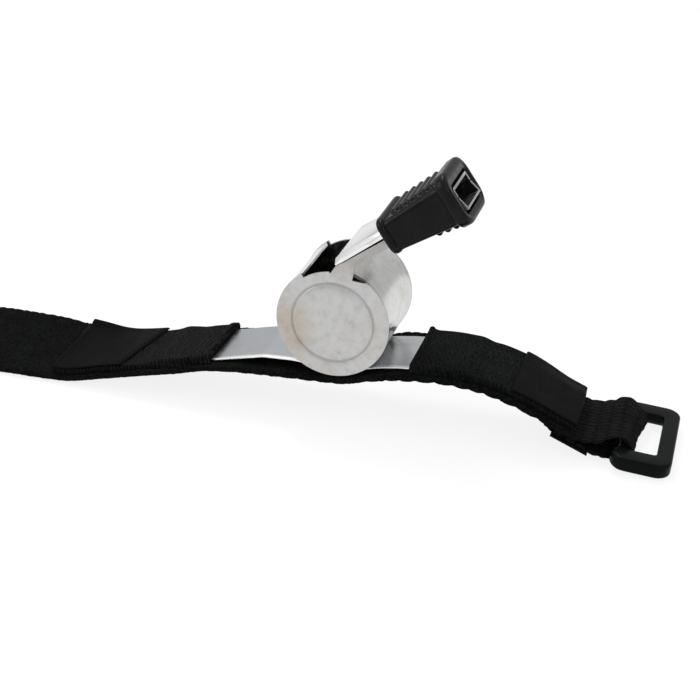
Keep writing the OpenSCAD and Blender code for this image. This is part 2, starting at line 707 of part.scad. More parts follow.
// The webbing's middle line: under the strap, over and round the ring's bar, and back
web_start = ring_side_reach - web_sewn_l;
function web_row(x, t) = let (p = on_tape(x, 0, t)) [p[0], p[2]];
web_out = web_row(ring_side_reach, web_top_t);
web_reach = ring_side_reach + flap_overhang;
web_loop = concat(
    [for (x = steps(web_start, ring_side_reach, course_step)) web_row(x, web_top_t)],
    [
        [web_out[0] + (ring_reach - web_out[0]) * 0.33, web_out[1] - web_t * 0.3],
        [web_out[0] + (ring_reach - web_out[0]) * 0.66, bar_z + loop_rise * 0.86],
        [ring_reach - bar_r * 0.3, bar_z + loop_rise]
    ],
    [for (a = [40:-26:-90]) [ring_reach, bar_z] + wrap_r * [cos(a), sin(a)]],
    [[ring_reach - bar_r, bar_z - wrap_r]],
    [for (x = steps(web_reach, web_start, course_step)) web_row(x, web_low_t)]
);

// A smooth curve through the loop's points, a few steps to each
web_parts = 3;
function through(p, i, u) =
    let (
        a = p[max(0, i - 1)], b = p[i], c = p[i + 1], d = p[min(len(p) - 1, i + 2)],
        m = (c - a) / 2, n = (d - b) / 2
    )
    b * (1 + 2 * u) * pow(1 - u, 2) + m * u * pow(1 - u, 2) + c * u * u * (3 - 2 * u) + n * u * u * (u - 1);
web_line = [
    for (i = [0:len(web_loop) - 2], k = [0:web_parts - 1]) through(web_loop, i, k / web_parts),
    web_loop[len(web_loop) - 1]
];

module webbing_tab() {
    last = len(web_line) - 1;
    function heading(i) = unit(web_line[min(last, i + 1)] - web_line[max(0, i - 1)]);
    function half_w(p) =
        let (u = (p[0] - web_reach) / (ring_reach - wrap_r - web_reach))
        (web_strap_w + (web_ring_w - web_strap_w) * ramp(u)) / 2;
    color(tape_tint) placed() skin([
        for (i = [0:last])
            let (p = web_line[i], h = heading(i), side = [-h[1], h[0]] * web_t / 2, w = half_w(p))
                [
                    for (corner = [[-1, -1], [-1, 1], [1, 1], [1, -1]])
                        [p[0] + corner[1] * side[0], corner[0] * w, p[1] + corner[1] * side[1]]
                ]
    ]);
}

// The ring: a moulded frame with eased edges and a round bar for the webbing
module strap_ring() {
    inner_back = bar_r;
    module frame(inset, h) {
        linear_extrude(h, center = true) hull() for (a = [0, 1], b = [-1, 1])
            translate([
                a ? ring_l - ring_corner_r : ring_corner_r - bar_r,
                b * (ring_w / 2 - ring_corner_r)
            ]) circle(ring_corner_r - inset, $fn = 32);
    }
    color(ring_tint) placed() translate([ring_reach, 0, bar_z]) rotate([0, ring_tilt, 0]) {
        difference() {
            hull() {
                frame(0, ring_t - 2 * ring_chamfer);
                frame(ring_chamfer, ring_t);
            }
            translate([-ring_l, -slot_l / 2, -ring_t]) cube([2 * ring_l - free_bar_w, slot_l, 2 * ring_t]);
        }
        translate([0, slot_l / 2 + sheet_t, 0]) rotate([90, 0, 0]) cylinder(r = bar_r, h = slot_l + 2 * sheet_t);
    }
}

module hook_patch() {
    color(label_tint) placed() layer(-tail_reach + hook_margin, -tail_reach + hook_margin + hook_l,
        -sleeve_half, sleeve_half,
        function (x) tape_t / 2 + patch_gap, function (x) tape_t / 2 + patch_gap + hook_t);
}

module hook_stitches() {
    start = -tail_reach + hook_margin;
    color(thread_tint) placed() for (side = [-1, 1])
        stitch_row(start, start + hook_l, side * (sleeve_half - thread_t * 3),
            function (x) tape_t / 2 + patch_gap + hook_t);
}

front_cheek();
rear_cheek();
barrel_wall();
windway_floor();
windway_roof();
solder_fillets();
mouth_grip();
finger_plate();
pea();
strap_middle();
left_sleeve();
right_sleeve();
left_label();
left_label_stitches();
left_sleeve_stitches();
right_sleeve_stitches();
strap_right_end();
right_sleeve_end();
right_label();
label_flap();
right_label_stitches();
webbing_tab();
strap_ring();
strap_tail();
strap_tail_tip();
hook_patch();
hook_stitches();
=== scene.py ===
"""A metal pea whistle on a hook-and-loop finger strap, dressed piece by piece in the order it is
put together: the soldered body, the pea, the rubber grip, the sprung plate, then the strap."""
import json
import math

import bmesh
import bpy
import numpy as np
from mathutils import Matrix, Vector


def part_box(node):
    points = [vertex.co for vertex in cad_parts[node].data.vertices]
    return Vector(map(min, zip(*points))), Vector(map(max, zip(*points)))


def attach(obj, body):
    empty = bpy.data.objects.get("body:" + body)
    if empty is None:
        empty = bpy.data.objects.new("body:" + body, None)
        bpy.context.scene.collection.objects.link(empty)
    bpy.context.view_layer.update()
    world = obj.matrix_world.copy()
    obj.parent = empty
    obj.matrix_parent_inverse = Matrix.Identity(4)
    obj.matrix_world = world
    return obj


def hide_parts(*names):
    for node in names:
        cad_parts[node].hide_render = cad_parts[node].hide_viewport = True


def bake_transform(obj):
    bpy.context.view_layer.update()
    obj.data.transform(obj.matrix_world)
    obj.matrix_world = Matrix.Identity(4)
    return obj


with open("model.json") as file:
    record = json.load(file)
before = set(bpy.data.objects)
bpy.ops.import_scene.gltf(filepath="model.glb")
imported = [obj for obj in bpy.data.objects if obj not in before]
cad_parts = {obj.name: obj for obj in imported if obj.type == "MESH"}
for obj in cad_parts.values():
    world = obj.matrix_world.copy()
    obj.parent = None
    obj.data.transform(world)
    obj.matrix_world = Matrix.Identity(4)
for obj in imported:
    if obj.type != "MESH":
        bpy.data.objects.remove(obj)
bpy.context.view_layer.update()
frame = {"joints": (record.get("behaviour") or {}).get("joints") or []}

# ---- side plates
# The two flat sides of the barrel, cut from sheet brass and nickel plated: a disc with a plain
# stamped ring, a neck, and a tongue folded in along the windway. Both are soldered to the edges
# of the rolled barrel strip and stand a little proud of it.
MM = 0.001
barrel_spot = np.array(next(j for j in frame["joints"] if j["name"] == "pea_orbit")["pos_m"]) / MM
lean = math.radians(5.3)
windway_turn = lean + math.radians(30)
sheet_t, cheek_r, cheek_y = 0.6, 11.0, 9.0
roof_rise, floor_tip, tongue_bend, grip_start, mouth_s = 10.45, 6.93, 9.14, 17.4, 33.4


def stacked(*parts):
    """Arrays that broadcast to one shape, as the coordinates of points."""
    return np.stack(np.broadcast_arrays(*parts), -1)


def on_circle(angle, radius=1.0):
    """Points of a circle at angles in radians."""
    return stacked(radius * np.cos(angle), radius * np.sin(angle))


def unit(v):
    """Arrows scaled to the length 1."""
    return v / np.linalg.norm(v, axis=-1, keepdims=True)


def turned(points, angle):
    """Points of the whistle's own frame turned by angle about the barrel, and moved to it."""
    x, y, z = np.moveaxis(np.asarray(points, float), -1, 0)
    c, s = math.cos(angle), math.sin(angle)
    return stacked(x * c - z * s, y, x * s + z * c) + barrel_spot


def under_windway(s):
    """Height of the floor's underside, a straight line from the throat to the mouth."""
    return 7.6 - 1.85 * (s - floor_tip) / (mouth_s - floor_tip)


def side_seam(s):
    """Height of the seam under the roof's folded side, a straight line along the windway."""
    return 9.2 - 0.65 * (s - tongue_bend) / (mouth_s - tongue_bend)


def windway_half(s):
    """Half the windway's width: straight to the fold, then narrowing in two straight stages."""
    return np.interp(s, [tongue_bend, grip_start, mouth_s], [cheek_y, 6.8, 5.2])


def grid_faces(rows, columns, wrap_rows=False, wrap_columns=False):
    """Quads between the neighbours of a grid of points, row by row, closed where it wraps."""
    a, b = np.meshgrid(np.arange(rows if wrap_rows else rows - 1),
                       np.arange(columns if wrap_columns else columns - 1), indexing="ij")
    c, d = (a + 1) % rows, (b + 1) % columns
    return stacked(a * columns + b, a * columns + d, c * columns + d,
                   c * columns + b).reshape(-1, 4)


def in_scene(name, data):
    """A new object, linked to the scene."""
    thing = bpy.data.objects.new(name, data)
    bpy.context.scene.collection.objects.link(thing)
    return thing


def make_piece(name, points, faces, finishes, body, stands_for=(), uv=None,
               recalculate=True, sharp=50):
    """A mesh from points in millimetres and faces, its uv given in millimetres for each corner."""
    mesh = bpy.data.meshes.new(name)
    mesh.from_pydata((np.reshape(points, (-1, 3)) * MM).tolist(), [],
                     [[int(i) for i in face] for face in faces])
    if uv is not None:
        corners = np.zeros((len(mesh.loops), 2), np.float32)
        corners[:len(uv)] = uv
        mesh.uv_layers.new(name="cloth").data.foreach_set("uv", corners.ravel())
    if recalculate:
        work = bmesh.new()
        work.from_mesh(mesh)
        bmesh.ops.recalc_face_normals(work, faces=work.faces)
        work.to_mesh(mesh)
        work.free()
    mesh.shade_smooth()
    mesh.set_sharp_from_angle(angle=math.radians(sharp))
    for finish in finishes:
        mesh.materials.append(finish)
    piece = in_scene(name, mesh)
    if body:
        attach(piece, body)
    if stands_for:
        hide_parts(*stands_for)
    return piece


def mark(piece, name, values):
    """Gives each point of a piece a value of its own, which its finish reads by name."""
    layer = piece.data.attributes.new(name, "FLOAT", "POINT")
    layer.data.foreach_set("value", np.asarray(values, np.float32).ravel())


def metal_sheet(name, points, faces, finishes, stands_for, painted_light, thickness, eased_by,
                segments=2, sharp=50):
    """A piece of sheet metal: its outer face, made thick inwards, then its sharp edges eased. Its
    values of painted highlight and painted shade go point by point, and a second finish is its
    inner face's."""
    piece = make_piece(name, points, faces, finishes, "whistle", stands_for,
                       recalculate=False, sharp=sharp)
    mark(piece, "painted_light", painted_light)
    wall = piece.modifiers.new("sheet", "SOLIDIFY")
    wall.thickness, wall.offset, wall.use_even_offset = thickness * MM, -1, True
    wall.material_offset, wall.material_offset_rim = len(finishes) - 1, 0
    ease = piece.modifiers.new("eased edges", "BEVEL")
    ease.width, ease.segments, ease.harden_normals = eased_by * MM, segments, True
    ease.limit_method, ease.angle_limit = "ANGLE", math.radians(55)
    return piece


def fill(target, inputs):
    """Links or sets a node's inputs. Its tree is found from the node itself."""
    for key, value in inputs.items():
        if isinstance(value, bpy.types.NodeSocket):
            target.id_data.links.new(value, target.inputs[key])
        else:
            target.inputs[key].default_value = value


def node(tree, kind, inputs=None, **settings):
    """Adds a node, sets its settings, and fills its inputs."""
    new = tree.nodes.new(kind)
    for key, value in settings.items():
        setattr(new, key, value)
    fill(new, inputs or {})
    return new


def new_material(name):
    """A material, its node tree, its Principled shader and the place on the piece."""
    material = bpy.data.materials.new(name)
    material.use_nodes = True
    tree = material.node_tree
    place = node(tree, "ShaderNodeTexCoord").outputs["Object"]
    return material, tree, tree.nodes["Principled BSDF"], place


def maths(operation, a, b, clamp=False):
    """A Math node's output."""
    return node(a.id_data, "ShaderNodeMath", {0: a, 1: b}, operation=operation,
                use_clamp=clamp).outputs[0]


def plus(a, b):
    """a + b."""
    return maths("ADD", a, b)


def times(a, b, clamp=False):
    """a times b."""
    return maths("MULTIPLY", a, b, clamp)


def faded(value, low, high, to_low=0.0, to_high=1.0):
    """A value eased from low..high to a new range."""
    return node(value.id_data, "ShaderNodeMapRange",
                {0: value, 1: low, 2: high, 3: to_low, 4: to_high},
                interpolation_type="SMOOTHSTEP").outputs[0]


def blended(share, a, b):
    """A colour between a and b; a number is a grey."""
    a, b = [(colour,) * 3 if isinstance(colour, float) else colour for colour in (a, b)]
    a, b = [(*colour, 1) if isinstance(colour, tuple) else colour for colour in (a, b)]
    return node(share.id_data, "ShaderNodeMix", {0: share, 6: a, 7: b},
                data_type="RGBA").outputs[2]


def noise(place, scale, detail=3.0, roughness=0.5, stretch=None):
    """Noise on a piece's own coordinates, scale in patterns to the metre."""
    if stretch:
        place = node(place.id_data, "ShaderNodeMapping", {0: place, 3: stretch}).outputs[0]
    return node(place.id_data, "ShaderNodeTexNoise", {
        "Vector": place, "Scale": scale, "Detail": detail, "Roughness": roughness}).outputs[0]


def relief(shader, height, strength, depth):
    """Makes the finish stand out by a height, with its depth in metres."""
    fill(shader, {"Normal": node(shader.id_data, "ShaderNodeBump", {
        "Height": height, "Strength": strength, "Distance": depth}).outputs[0]})


def group_tree(name, place, numbers, results):
    """A new shader node group: a vector and numbers go in, and numbers come out."""
    tree = bpy.data.node_groups.new(name, "ShaderNodeTree")
    tree.interface.new_socket(place, in_out="INPUT", socket_type="NodeSocketVector")
    for labels, way in ((numbers, "INPUT"), (results, "OUTPUT")):
        for label in labels:
            tree.interface.new_socket(label, in_out=way, socket_type="NodeSocketFloat")
    return tree, tree.nodes.new("NodeGroupInput").outputs, tree.nodes.new("NodeGroupOutput")


# Years of handling: warm stains where the plating has gone dull, fine pits and hairline scratches.
handling, given, made = group_tree("handling", "Place", ["Stain size", "Stain spread"],
                                   ["Stains", "Pits", "Scratches"])
blotch = noise(given["Place"], given["Stain size"], 4.0, 0.62)
pits = noise(given["Place"], 2600.0, 4.0, 0.75)
scored = noise(given["Place"], 260.0, 2.0, 0.7, (0.6, 1.0, 9.0))
fill(made, {"Stains": faded(plus(blotch, given["Stain spread"]), 0.92, 1.3),
            "Pits": faded(pits, 0.55, 0.8), "Scratches": faded(scored, 0.35, 0.75)})
stain_spot = tuple((barrel_spot + [-8.0, -9.0, -1.5]) * MM)


def metal_finish(name, bright, stain, stain_size, spread, rough, rough_more, grime=0.5,
                 cloudy=0.3, uneven_by=0.35):
    """Nickel plate: a bright base, warm stains, small pits and a soft unevenness. A piece's own
    values paint a highlight where they are above zero, and below zero they paint shade."""
    material, tree, shader, place = new_material(name)
    off = node(tree, "ShaderNodeVectorMath", {0: place, 1: stain_spot}, operation="DISTANCE")
    marks = node(tree, "ShaderNodeGroup", node_tree=handling)
    fill(marks, {"Place": place, "Stain size": stain_size,
                 "Stain spread": faded(off.outputs[1], 0.002, 0.008, spread + 0.15, spread)})
    stains, pits, scratches = marks.outputs
    cloud = times(faded(noise(place, 700.0, 5.0, 0.7), 0.4, 0.75), cloudy)
    # Painted light: the piece's values lighten the colour towards a painted highlight, and below
    # zero darken it into painted shade.
    painted_light = node(tree, "ShaderNodeAttribute", attribute_name="painted_light").outputs["Fac"]
    colour = blended(stains, bright, stain)
    for share, tint in ((maths("MAXIMUM", cloud, times(pits, grime)), (0.3, 0.29, 0.27)),
                        (times(painted_light, 1.0, True), 0.97), (times(painted_light, -1.0, True), 0.05)):
        colour = blended(share, colour, tint)
    dull = plus(times(stains, rough_more), times(scratches, 0.06))
    fill(shader, {"Base Color": colour, "Roughness": plus(dull, rough), "Metallic": 1.0})
    waves = times(noise(place, 140.0, 2.0), 0.8)
    relief(shader, plus(waves, times(pits, -0.05)), uneven_by, 0.0001)
    return material


def plain_finish(name, pattern, dark, light, rough, constant, reach=None, bump=None, fine=None):
    """A finish whose colour and roughness follow one noise, its colour within reach where that
    is given. bump is the relief's strength and depth, and fine a second noise and its share."""
    material, tree, shader, place = new_material(name)
    main = noise(place, *pattern)
    share = faded(main, *reach) if reach else main
    fill(shader, {"Base Color": blended(share, dark, light),
                  "Roughness": faded(main, 0.3, 0.7, *rough), **constant})
    if fine:
        main = plus(times(noise(place, *fine[:3]), fine[3]), main)
    if bump:
        relief(shader, main, *bump)
    return material


plate_finish = metal_finish("side_plate_nickel", 0.565, (0.515, 0.465, 0.405),
                            95.0, 0.53, 0.3, 0.12, 0.45, 0.36)
polished = metal_finish("polished_nickel", 0.67, (0.55, 0.54, 0.5), 120.0, 0.5, 0.17, 0.14, 0.3)
# The sheets' inner faces are painted near black: painted shade for the hollow inside of the
# whistle.
inside_shade = plain_finish("inside_painted_shade", (700.0, 4.0, 0.6), 0.008,
                         (0.11, 0.105, 0.1), (0.75, 0.5), {"Metallic": 0.6}, (0.45, 0.75))

slot_r, neck_r, slot_from, slot_to, foot_low, foot_high, notch_to = (
    10.1, 9.85, 47.0, 62.3, 62.4, 87.9, 118.45)
edge_angles = np.unique(np.concatenate([
    np.linspace(0, 360, 145)[:-1], np.linspace(foot_low, foot_high, 13),
    [slot_from, slot_to, notch_to - 0.05, notch_to + 0.05]]).round(3))


def plate_edge(angle):
    """The disc's radius by angle: its rim, cut back at the slot, the neck and the small notch."""
    start, end = on_circle(np.radians([slot_from, slot_to]), np.array([cheek_r, cheek_r - 1.2]))
    away = (end - start)[::-1] * [1, -1]
    across = on_circle(np.radians(angle)) @ away
    cut = (away @ start) / np.where(np.abs(across) < 1e-6, 1.0, across)
    return np.select([angle < slot_from, angle <= slot_to, angle <= foot_high, angle < notch_to],
                     [cheek_r, cut, neck_r, slot_r], cheek_r)


# From the middle outwards: radius, depth of the stamped ring, and the painted shade in its groove.
stamp = np.array([[2.5, 0, 0], [5.2, 0, 0], [7.62, 0, 0], [7.7, 0.05, -0.08], [7.8, 0.12, -0.3],
                  [8.1, 0.12, -0.3], [8.2, 0.05, -0.08], [8.28, 0, 0]])
stamp_r = stamp[-1, 0]
rim, steps = plate_edge(edge_angles), len(edge_angles)
radii = np.concatenate([np.repeat(stamp[:, :1], steps, 1), [stamp_r + (rim - stamp_r) * 0.5, rim]])
depth, groove_shade = np.pad(stamp[:, 1:], ((0, 2), (0, 0))).T
round_x, round_z = np.moveaxis(on_circle(np.radians(edge_angles), radii), -1, 0)
disc = np.concatenate([[[0.0, -cheek_y, 0.0]],
                       stacked(round_x, depth[:, None] - cheek_y, round_z).reshape(-1, 3)])
spokes = np.arange(steps)
disc_faces = stacked(0, 1 + spokes, 1 + (spokes + 1) % steps).tolist()
disc_faces += (grid_faces(len(radii), steps, wrap_columns=True)[:, ::-1] + 1).tolist()
foot = np.flatnonzero((edge_angles >= foot_low) & (edge_angles <= foot_high))
foot = (foot + 1 + (len(radii) - 1) * steps).tolist()

# The neck and the tongue, on the windway's slanted side.
throat, tongue_end, roof_end = 10.33, 33.7, 33.1
tongue_s = np.array([tongue_bend, tongue_bend, floor_tip, throat, grip_start, grip_start,
                     tongue_end, roof_end])
below_seam = np.array([0, 0.2, 0.2, 0, 0, 0.4, 0, 0.2])
tongue_n = np.where(below_seam, side_seam(tongue_s) - below_seam, under_windway(tongue_s))
tongue_n[0] = 6.06
tongue = turned(stacked(tongue_s, -windway_half(tongue_s), tongue_n), windway_turn)
cheek_points = np.concatenate([turned(disc, lean), tongue])
first = len(disc)
cheek_faces = disc_faces + [[foot[0], first, first + 1, first + 2] + foot[:0:-1],
                            [first, first + 3, first + 4, first + 5, first + 1],
                            [first + 4, first + 6, first + 7, first + 5]]
# Painted shade: darker in the stamped groove, and darker along the tongue the nearer it comes to
# the mouth.
painted_light = np.concatenate([[0], np.repeat(groove_shade, steps),
                       [-0.1, -0.1, -0.16, -0.22, -0.22, -0.22, -0.4, -0.4]])
for name, side, stands_for in (("front_plate", 1, "front_cheek"),
                               ("rear_plate", -1, "rear_cheek")):
    metal_sheet(name, cheek_points * [1, side, 1], [face[::side] for face in cheek_faces],
                [plate_finish, inside_shade], [stands_for], painted_light, sheet_t, 0.16)

# ---- barrel strip
# One strip of the same sheet rolled round the two side plates, left open at the slot, where its
# lip is dressed with a file, and cut off under the windway's floor.
barrel_r = 10.85
turns = np.radians(np.linspace(120, 433.4, 120))[:, None]
widths = np.array([-8.3, -8.15, -7.95, -4, 0, 4, 7.9, 8.54])
radii = barrel_r + np.array([0, 0, 0, 0, 0, 0, 0, 0.18])
wall = stacked(radii * np.cos(turns), widths, radii * np.sin(turns))
# Painted light: a painted highlight along the lip's edge, and a line of painted shade along the
# edge against the front plate.
painted_light = (np.array([-0.9, -0.75, 0, 0, 0, 0, 0, 0])
        + 0.7 * np.exp(-np.arange(len(turns)) / 2.0)[:, None])
metal_sheet("rolled_barrel", turned(wall, lean), grid_faces(len(turns), len(widths)),
            [polished, inside_shade], ["barrel_wall"], painted_light, sheet_t, 0.12)

# ---- windway's roof
# The roof is a folded channel: a flat top, sloping shoulders and short sides that meet the side
# plates' tongues in a soldered seam. Its edge over the slot is bent down and dressed thin.
windway_t, windway_ease, lip_edge, lip_bend, lip_drop = 0.5, 0.14, 7.23, 8.67, 0.36
roof_s = np.array([lip_edge, 7.8, lip_bend, tongue_bend, 11, 13, 15, grip_start, 20, 24, 28,
                   roof_end])
half = windway_half(roof_s)
shoulder = np.interp(roof_s, [tongue_bend, grip_start, roof_end], [1.45, 0.5, 0.2])
drop = np.interp(roof_s, [grip_start, roof_end], [0.6, 0.2])
top = roof_rise - lip_drop * np.clip((lip_bend - roof_s) / (lip_bend - lip_edge), 0, 1)


def eased_corners(profile, reach):
    """Each inner corner of a profile becomes three points of a short curve, reach long."""
    corner = profile[:, 1:-1]
    back, ahead = [corner + unit(way - corner) * reach for way in (profile[:, :-2], profile[:, 2:])]
    curve = np.stack([back, (back + 2 * corner + ahead) / 4, ahead], 2)
    return np.concatenate([profile[:, :1], curve.reshape(len(profile), -1, 2), profile[:, -1:]], 1)


right_half = eased_corners(np.stack([
    stacked(half, side_seam(roof_s)), stacked(half, top - drop), stacked(half - shoulder, top),
    stacked(0 * half, top)], 1), 0.12)
profile = np.concatenate([right_half, (right_half * [-1, 1])[:, -2::-1]], 1)
roof = stacked(roof_s[:, None], profile[..., 0], profile[..., 1])
# Painted light: a painted highlight along the folded shoulders, and painted shade over the last bit
# at the mouth.
shoulder_highlight = np.clip((np.abs(profile[..., 0]) - (half - shoulder)[:, None] + 0.05) / 0.15, 0, 1)
metal_sheet("windway_top", turned(roof, windway_turn), grid_faces(*profile.shape[:2]),
            [polished, inside_shade], ["windway_roof"],
            np.where(roof_s[:, None] > 33, -0.35, 0.25 + 0.6 * shoulder_highlight), windway_t, windway_ease,
            sharp=12)

# ---- windway's floor
# A flat strip between the two tongues, soldered to them and to the end of the barrel strip.
floor_s = np.array([floor_tip + 0.1, tongue_bend, 12, grip_start, 25, 33.68])[:, None]
strip = stacked(floor_s, np.linspace(-1, 1, 9) * (windway_half(floor_s) - 0.55),
                under_windway(floor_s))
# Painted shade over the last bit of the floor at the mouth.
metal_sheet("windway_base", turned(strip, windway_turn), grid_faces(*strip.shape[:2]),
            [polished, inside_shade], ["windway_floor"],
            np.broadcast_to(np.where(floor_s > 33, -0.35, 0.0), strip.shape[:2]), windway_t,
            windway_ease)

# ---- pea
# A ball of pressed cork, loose in the chamber, a little uneven and darkened by handling.
pea_low, pea_high = [np.array(corner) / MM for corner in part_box("pea")]
pea_r = (pea_high - pea_low)[1] / 2
across = np.linspace(0, np.pi, 33)[:, None]
around = np.linspace(0, 2 * np.pi, 64, endpoint=False)
wobble = 1 - 0.012 * (1 + np.sin(5 * around + 3 * across) * np.sin(4 * across)) * np.sin(across)
ball = pea_r * stacked(wobble * np.sin(across) * np.cos(around),
                       wobble * np.sin(across) * np.sin(around), np.cos(across))
ball += (pea_low + pea_high) / 2
inner = ball[1:-1].reshape(-1, 3)
spokes = np.arange(len(around))
after = (spokes + 1) % len(spokes)
last = len(inner) - len(spokes)
cork, tree, shader, place = new_material("cork")
grain = node(tree, "ShaderNodeTexVoronoi", {"Vector": place, "Scale": 900.0}).outputs["Distance"]
fine = noise(place, 2200.0)
fill(shader, {
    "Base Color": blended(faded(grain, 0.1, 0.75), (0.30, 0.17, 0.08), (0.56, 0.37, 0.2)),
    "Roughness": faded(fine, 0.3, 0.7, 0.8, 0.95)})
relief(shader, plus(grain, fine), 0.5, 0.0002)
make_piece("cork_ball", np.concatenate([inner, ball[[0, -1], 0]]),
           grid_faces(len(ball) - 2, len(spokes), wrap_columns=True).tolist()
           + stacked(len(inner), spokes, after).tolist()
           + stacked(len(inner) + 1, last + after, last + spokes).tolist(),
           [cork], "rolling_pea", ["pea"])

# ---- mouth grip
# A moulded rubber sleeve pushed over the mouth end: a thin flange at its foot, a body that
# tapers with six soft ribs on top and three below, and a thick rounded flange at the tip, whose
# hole stands off the metal.
grip_tip = 33.3
body_from, body_to = grip_start + 2.0, grip_tip - 2.6
base_low = under_windway(grip_start) - (7.3 - (roof_rise - under_windway(grip_start))) / 2
tip_low = roof_rise - 4.7 - (9.9 - 4.7) * 0.46
# Each row: s, half width, low, high and corner radius, at the foot, at the tip and in the hole.
foot_rows = np.array([
    [0, 7.3, 0.6, 6.7, 1.6], [0.15, 7.72, 0.18, 7.2, 1.9], [0.5, 7.95, 0, 7.45, 2.1],
    [1.1, 7.95, 0, 7.45, 2.1], [1.45, 7.75, 0.15, 7.2, 1.9], [1.6, 7.35, 0.25, 6.75, 1.4],
    [2.5, 7.3, 0.25, 6.75, 1.2]]) + [grip_start, 0, base_low, base_low, 0]
tip_rows = np.array([
    [-3.8, 6.6, 0.85, 9.0, 1.5], [-2.7, 6.62, 0.8, 9.1, 1.6], [-2.5, 7.1, 0.1, 9.8, 2.4],
    [-2.15, 7.5, -0.22, 10.3, 2.9], [-0.7, 7.55, -0.25, 10.38, 3.0],
    [-0.22, 7.4, -0.1, 10.22, 3.0], [0, 6.95, 0.3, 9.8, 2.8]]) + [grip_tip, 0, tip_low, tip_low, 0]
hole_rows = (np.array([
    [33.25, 6.15, -5.65, 0.75, 1.2], [32.9, 5.9, -5.45, 0.55, 0.9], [30.1, 5.7, -5.1, 0.3, 0.4],
    [18.9, 6.86, -3.73, 0.1, 0.3], [17.5, 6.95, -3.69, 0.1, 0.3]])
    + [0, 0, roof_rise, roof_rise, 0]).T
grip_rows = np.concatenate([foot_rows, tip_rows]).T
outer_s = np.concatenate([foot_rows[:6, 0], np.arange(body_from + 0.1, body_to - 0.12, 0.1),
                          tip_rows[1:, 0]])
outer_rows = np.array([np.interp(outer_s, grip_rows[0], values) for values in grip_rows[1:]])


def rounded_ring(half, low, high, radius, flat=46, bend=8):
    """A rectangle with rounded corners, the same number of points on each side and corner."""
    share = np.linspace(0, 1, flat, endpoint=False)[:, None]
    turn = np.linspace(0, np.pi / 2, bend, endpoint=False)
    centres = [stacked(a * (half - radius), edge - b * radius)[:, None]
               for a, b, edge in ((1, 1, high), (-1, 1, high), (-1, -1, low), (1, -1, low))]
    parts = []
    for quarter, centre in enumerate(centres):
        corner = on_circle(turn + quarter * np.pi / 2, radius[:, None])
        end = on_circle(np.array([(quarter + 1) * np.pi / 2]), radius[:, None])
        ahead = centres[(quarter + 1) % 4] - centre
        parts += [centre + corner, centre + end + ahead * share]
    return np.concatenate(parts, 1)


def rib_height(spots, reach, r=0.6):
    """Half-round ribs across the grip, r high, fading at their rounded ends."""
    near = np.min(np.abs(outer_s[:, None] - spots), axis=-1)[:, None]
    ends = np.clip((reach - np.abs(outside[..., 0])) / 0.55, 0, 1)
    r_here = r * np.sqrt(np.clip(ends * (2 - ends), 0, 1))
    return np.sqrt(np.clip(r_here ** 2 - (near * 0.95) ** 2, 0, None)) * 1.25


outside, inside = rounded_ring(*outer_rows), rounded_ring(*hole_rows[1:])
rib_pitch = (body_to - body_from) * 0.155
top_ribs = body_from + (body_to - body_from) * 0.147 + rib_pitch * np.arange(6)
low_ribs = body_to - 1.1 - rib_pitch * np.arange(3)
low_face, high_face = outer_rows[1:3, :, None]
on_body = ((outer_s > body_from + 0.1) & (outer_s < body_to - 0.05))[:, None]
is_top, is_low = outside[..., 1] > high_face - 0.25, outside[..., 1] < low_face + 0.25
outside[..., 1] += np.where(is_top & on_body, rib_height(top_ribs, 5.5), 0)
outside[..., 1] -= np.where(is_low & on_body, rib_height(low_ribs, 5.0), 0)
rings = np.concatenate([outside, inside])
grip = stacked(np.concatenate([outer_s, hole_rows[0]])[:, None], rings[..., 0], rings[..., 1])
rubber = plain_finish("grip_rubber", (320.0, 4.0, 0.6), (0.0018, 0.002, 0.002),
                      (0.005, 0.0054, 0.0054), (0.24, 0.34), {"Specular IOR Level": 0.14},
                      (0.35, 0.75), (0.35, 0.0001), (5200.0, 2.0, 0.6, 0.4))
make_piece("rubber_grip", turned(grip, windway_turn), grid_faces(*rings.shape[:2], True, True),
           [rubber], "whistle", ["mouth_grip"], sharp=65)

# ---- the strap's run
# The strap is a flat 19 mm hook-and-loop tape that arches under the whistle and lies down
# towards both ends, its tail turned a little on its side. Every layer is placed on its middle
# surface by three numbers: x from the barrel, y across, t square to the tape.
tape_t, half_tape, gap, arch_h, twist = 1.3, 9.5, 0.05, 8.7, 15
tail_reach, ring_side_reach = 118.0, 46.3
# Each row: shares of the reach, of the arch's height and of the twist in degrees.
tail_rows = np.array([
    [-1, 0, 0], [-0.88, 0, 0], [-0.78, 0, 0.45], [-0.66, 0, 1], [-0.55, 0, 0.93],
    [-0.483, 0.03, 0.6], [-0.413, 0.23, 0.12], [-0.34, 0.46, 0], [-0.27, 0.67, 0],
    [-0.22, 0.84, 0], [-0.157, 0.93, 0], [-0.07, 0.975, 0]])
ring_rows = np.array([
    [0, 1, 0], [0.05, 1.022, 0], [0.151, 1.16, 0], [0.292, 1.31, 0], [0.458, 1.37, 0],
    [0.622, 1.295, 0], [0.726, 1.145, 0], [0.83, 0.94, 0], [0.933, 0.68, 0], [1.02, 0.48, 0],
    [1.12, 0.25, 0]])
course = np.concatenate([tail_rows * [tail_reach, arch_h, twist],
                         ring_rows * [ring_side_reach, arch_h, twist]]).T


def cubic(a, b, m, n, u):
    """From a to b as u goes from 0 to 1, leaving with the slope m and arriving with n."""
    return (a * (1 + 2 * u) * (1 - u) ** 2 + m * u * (1 - u) ** 2 + b * u * u * (3 - 2 * u)
            + n * u * u * (u - 1))


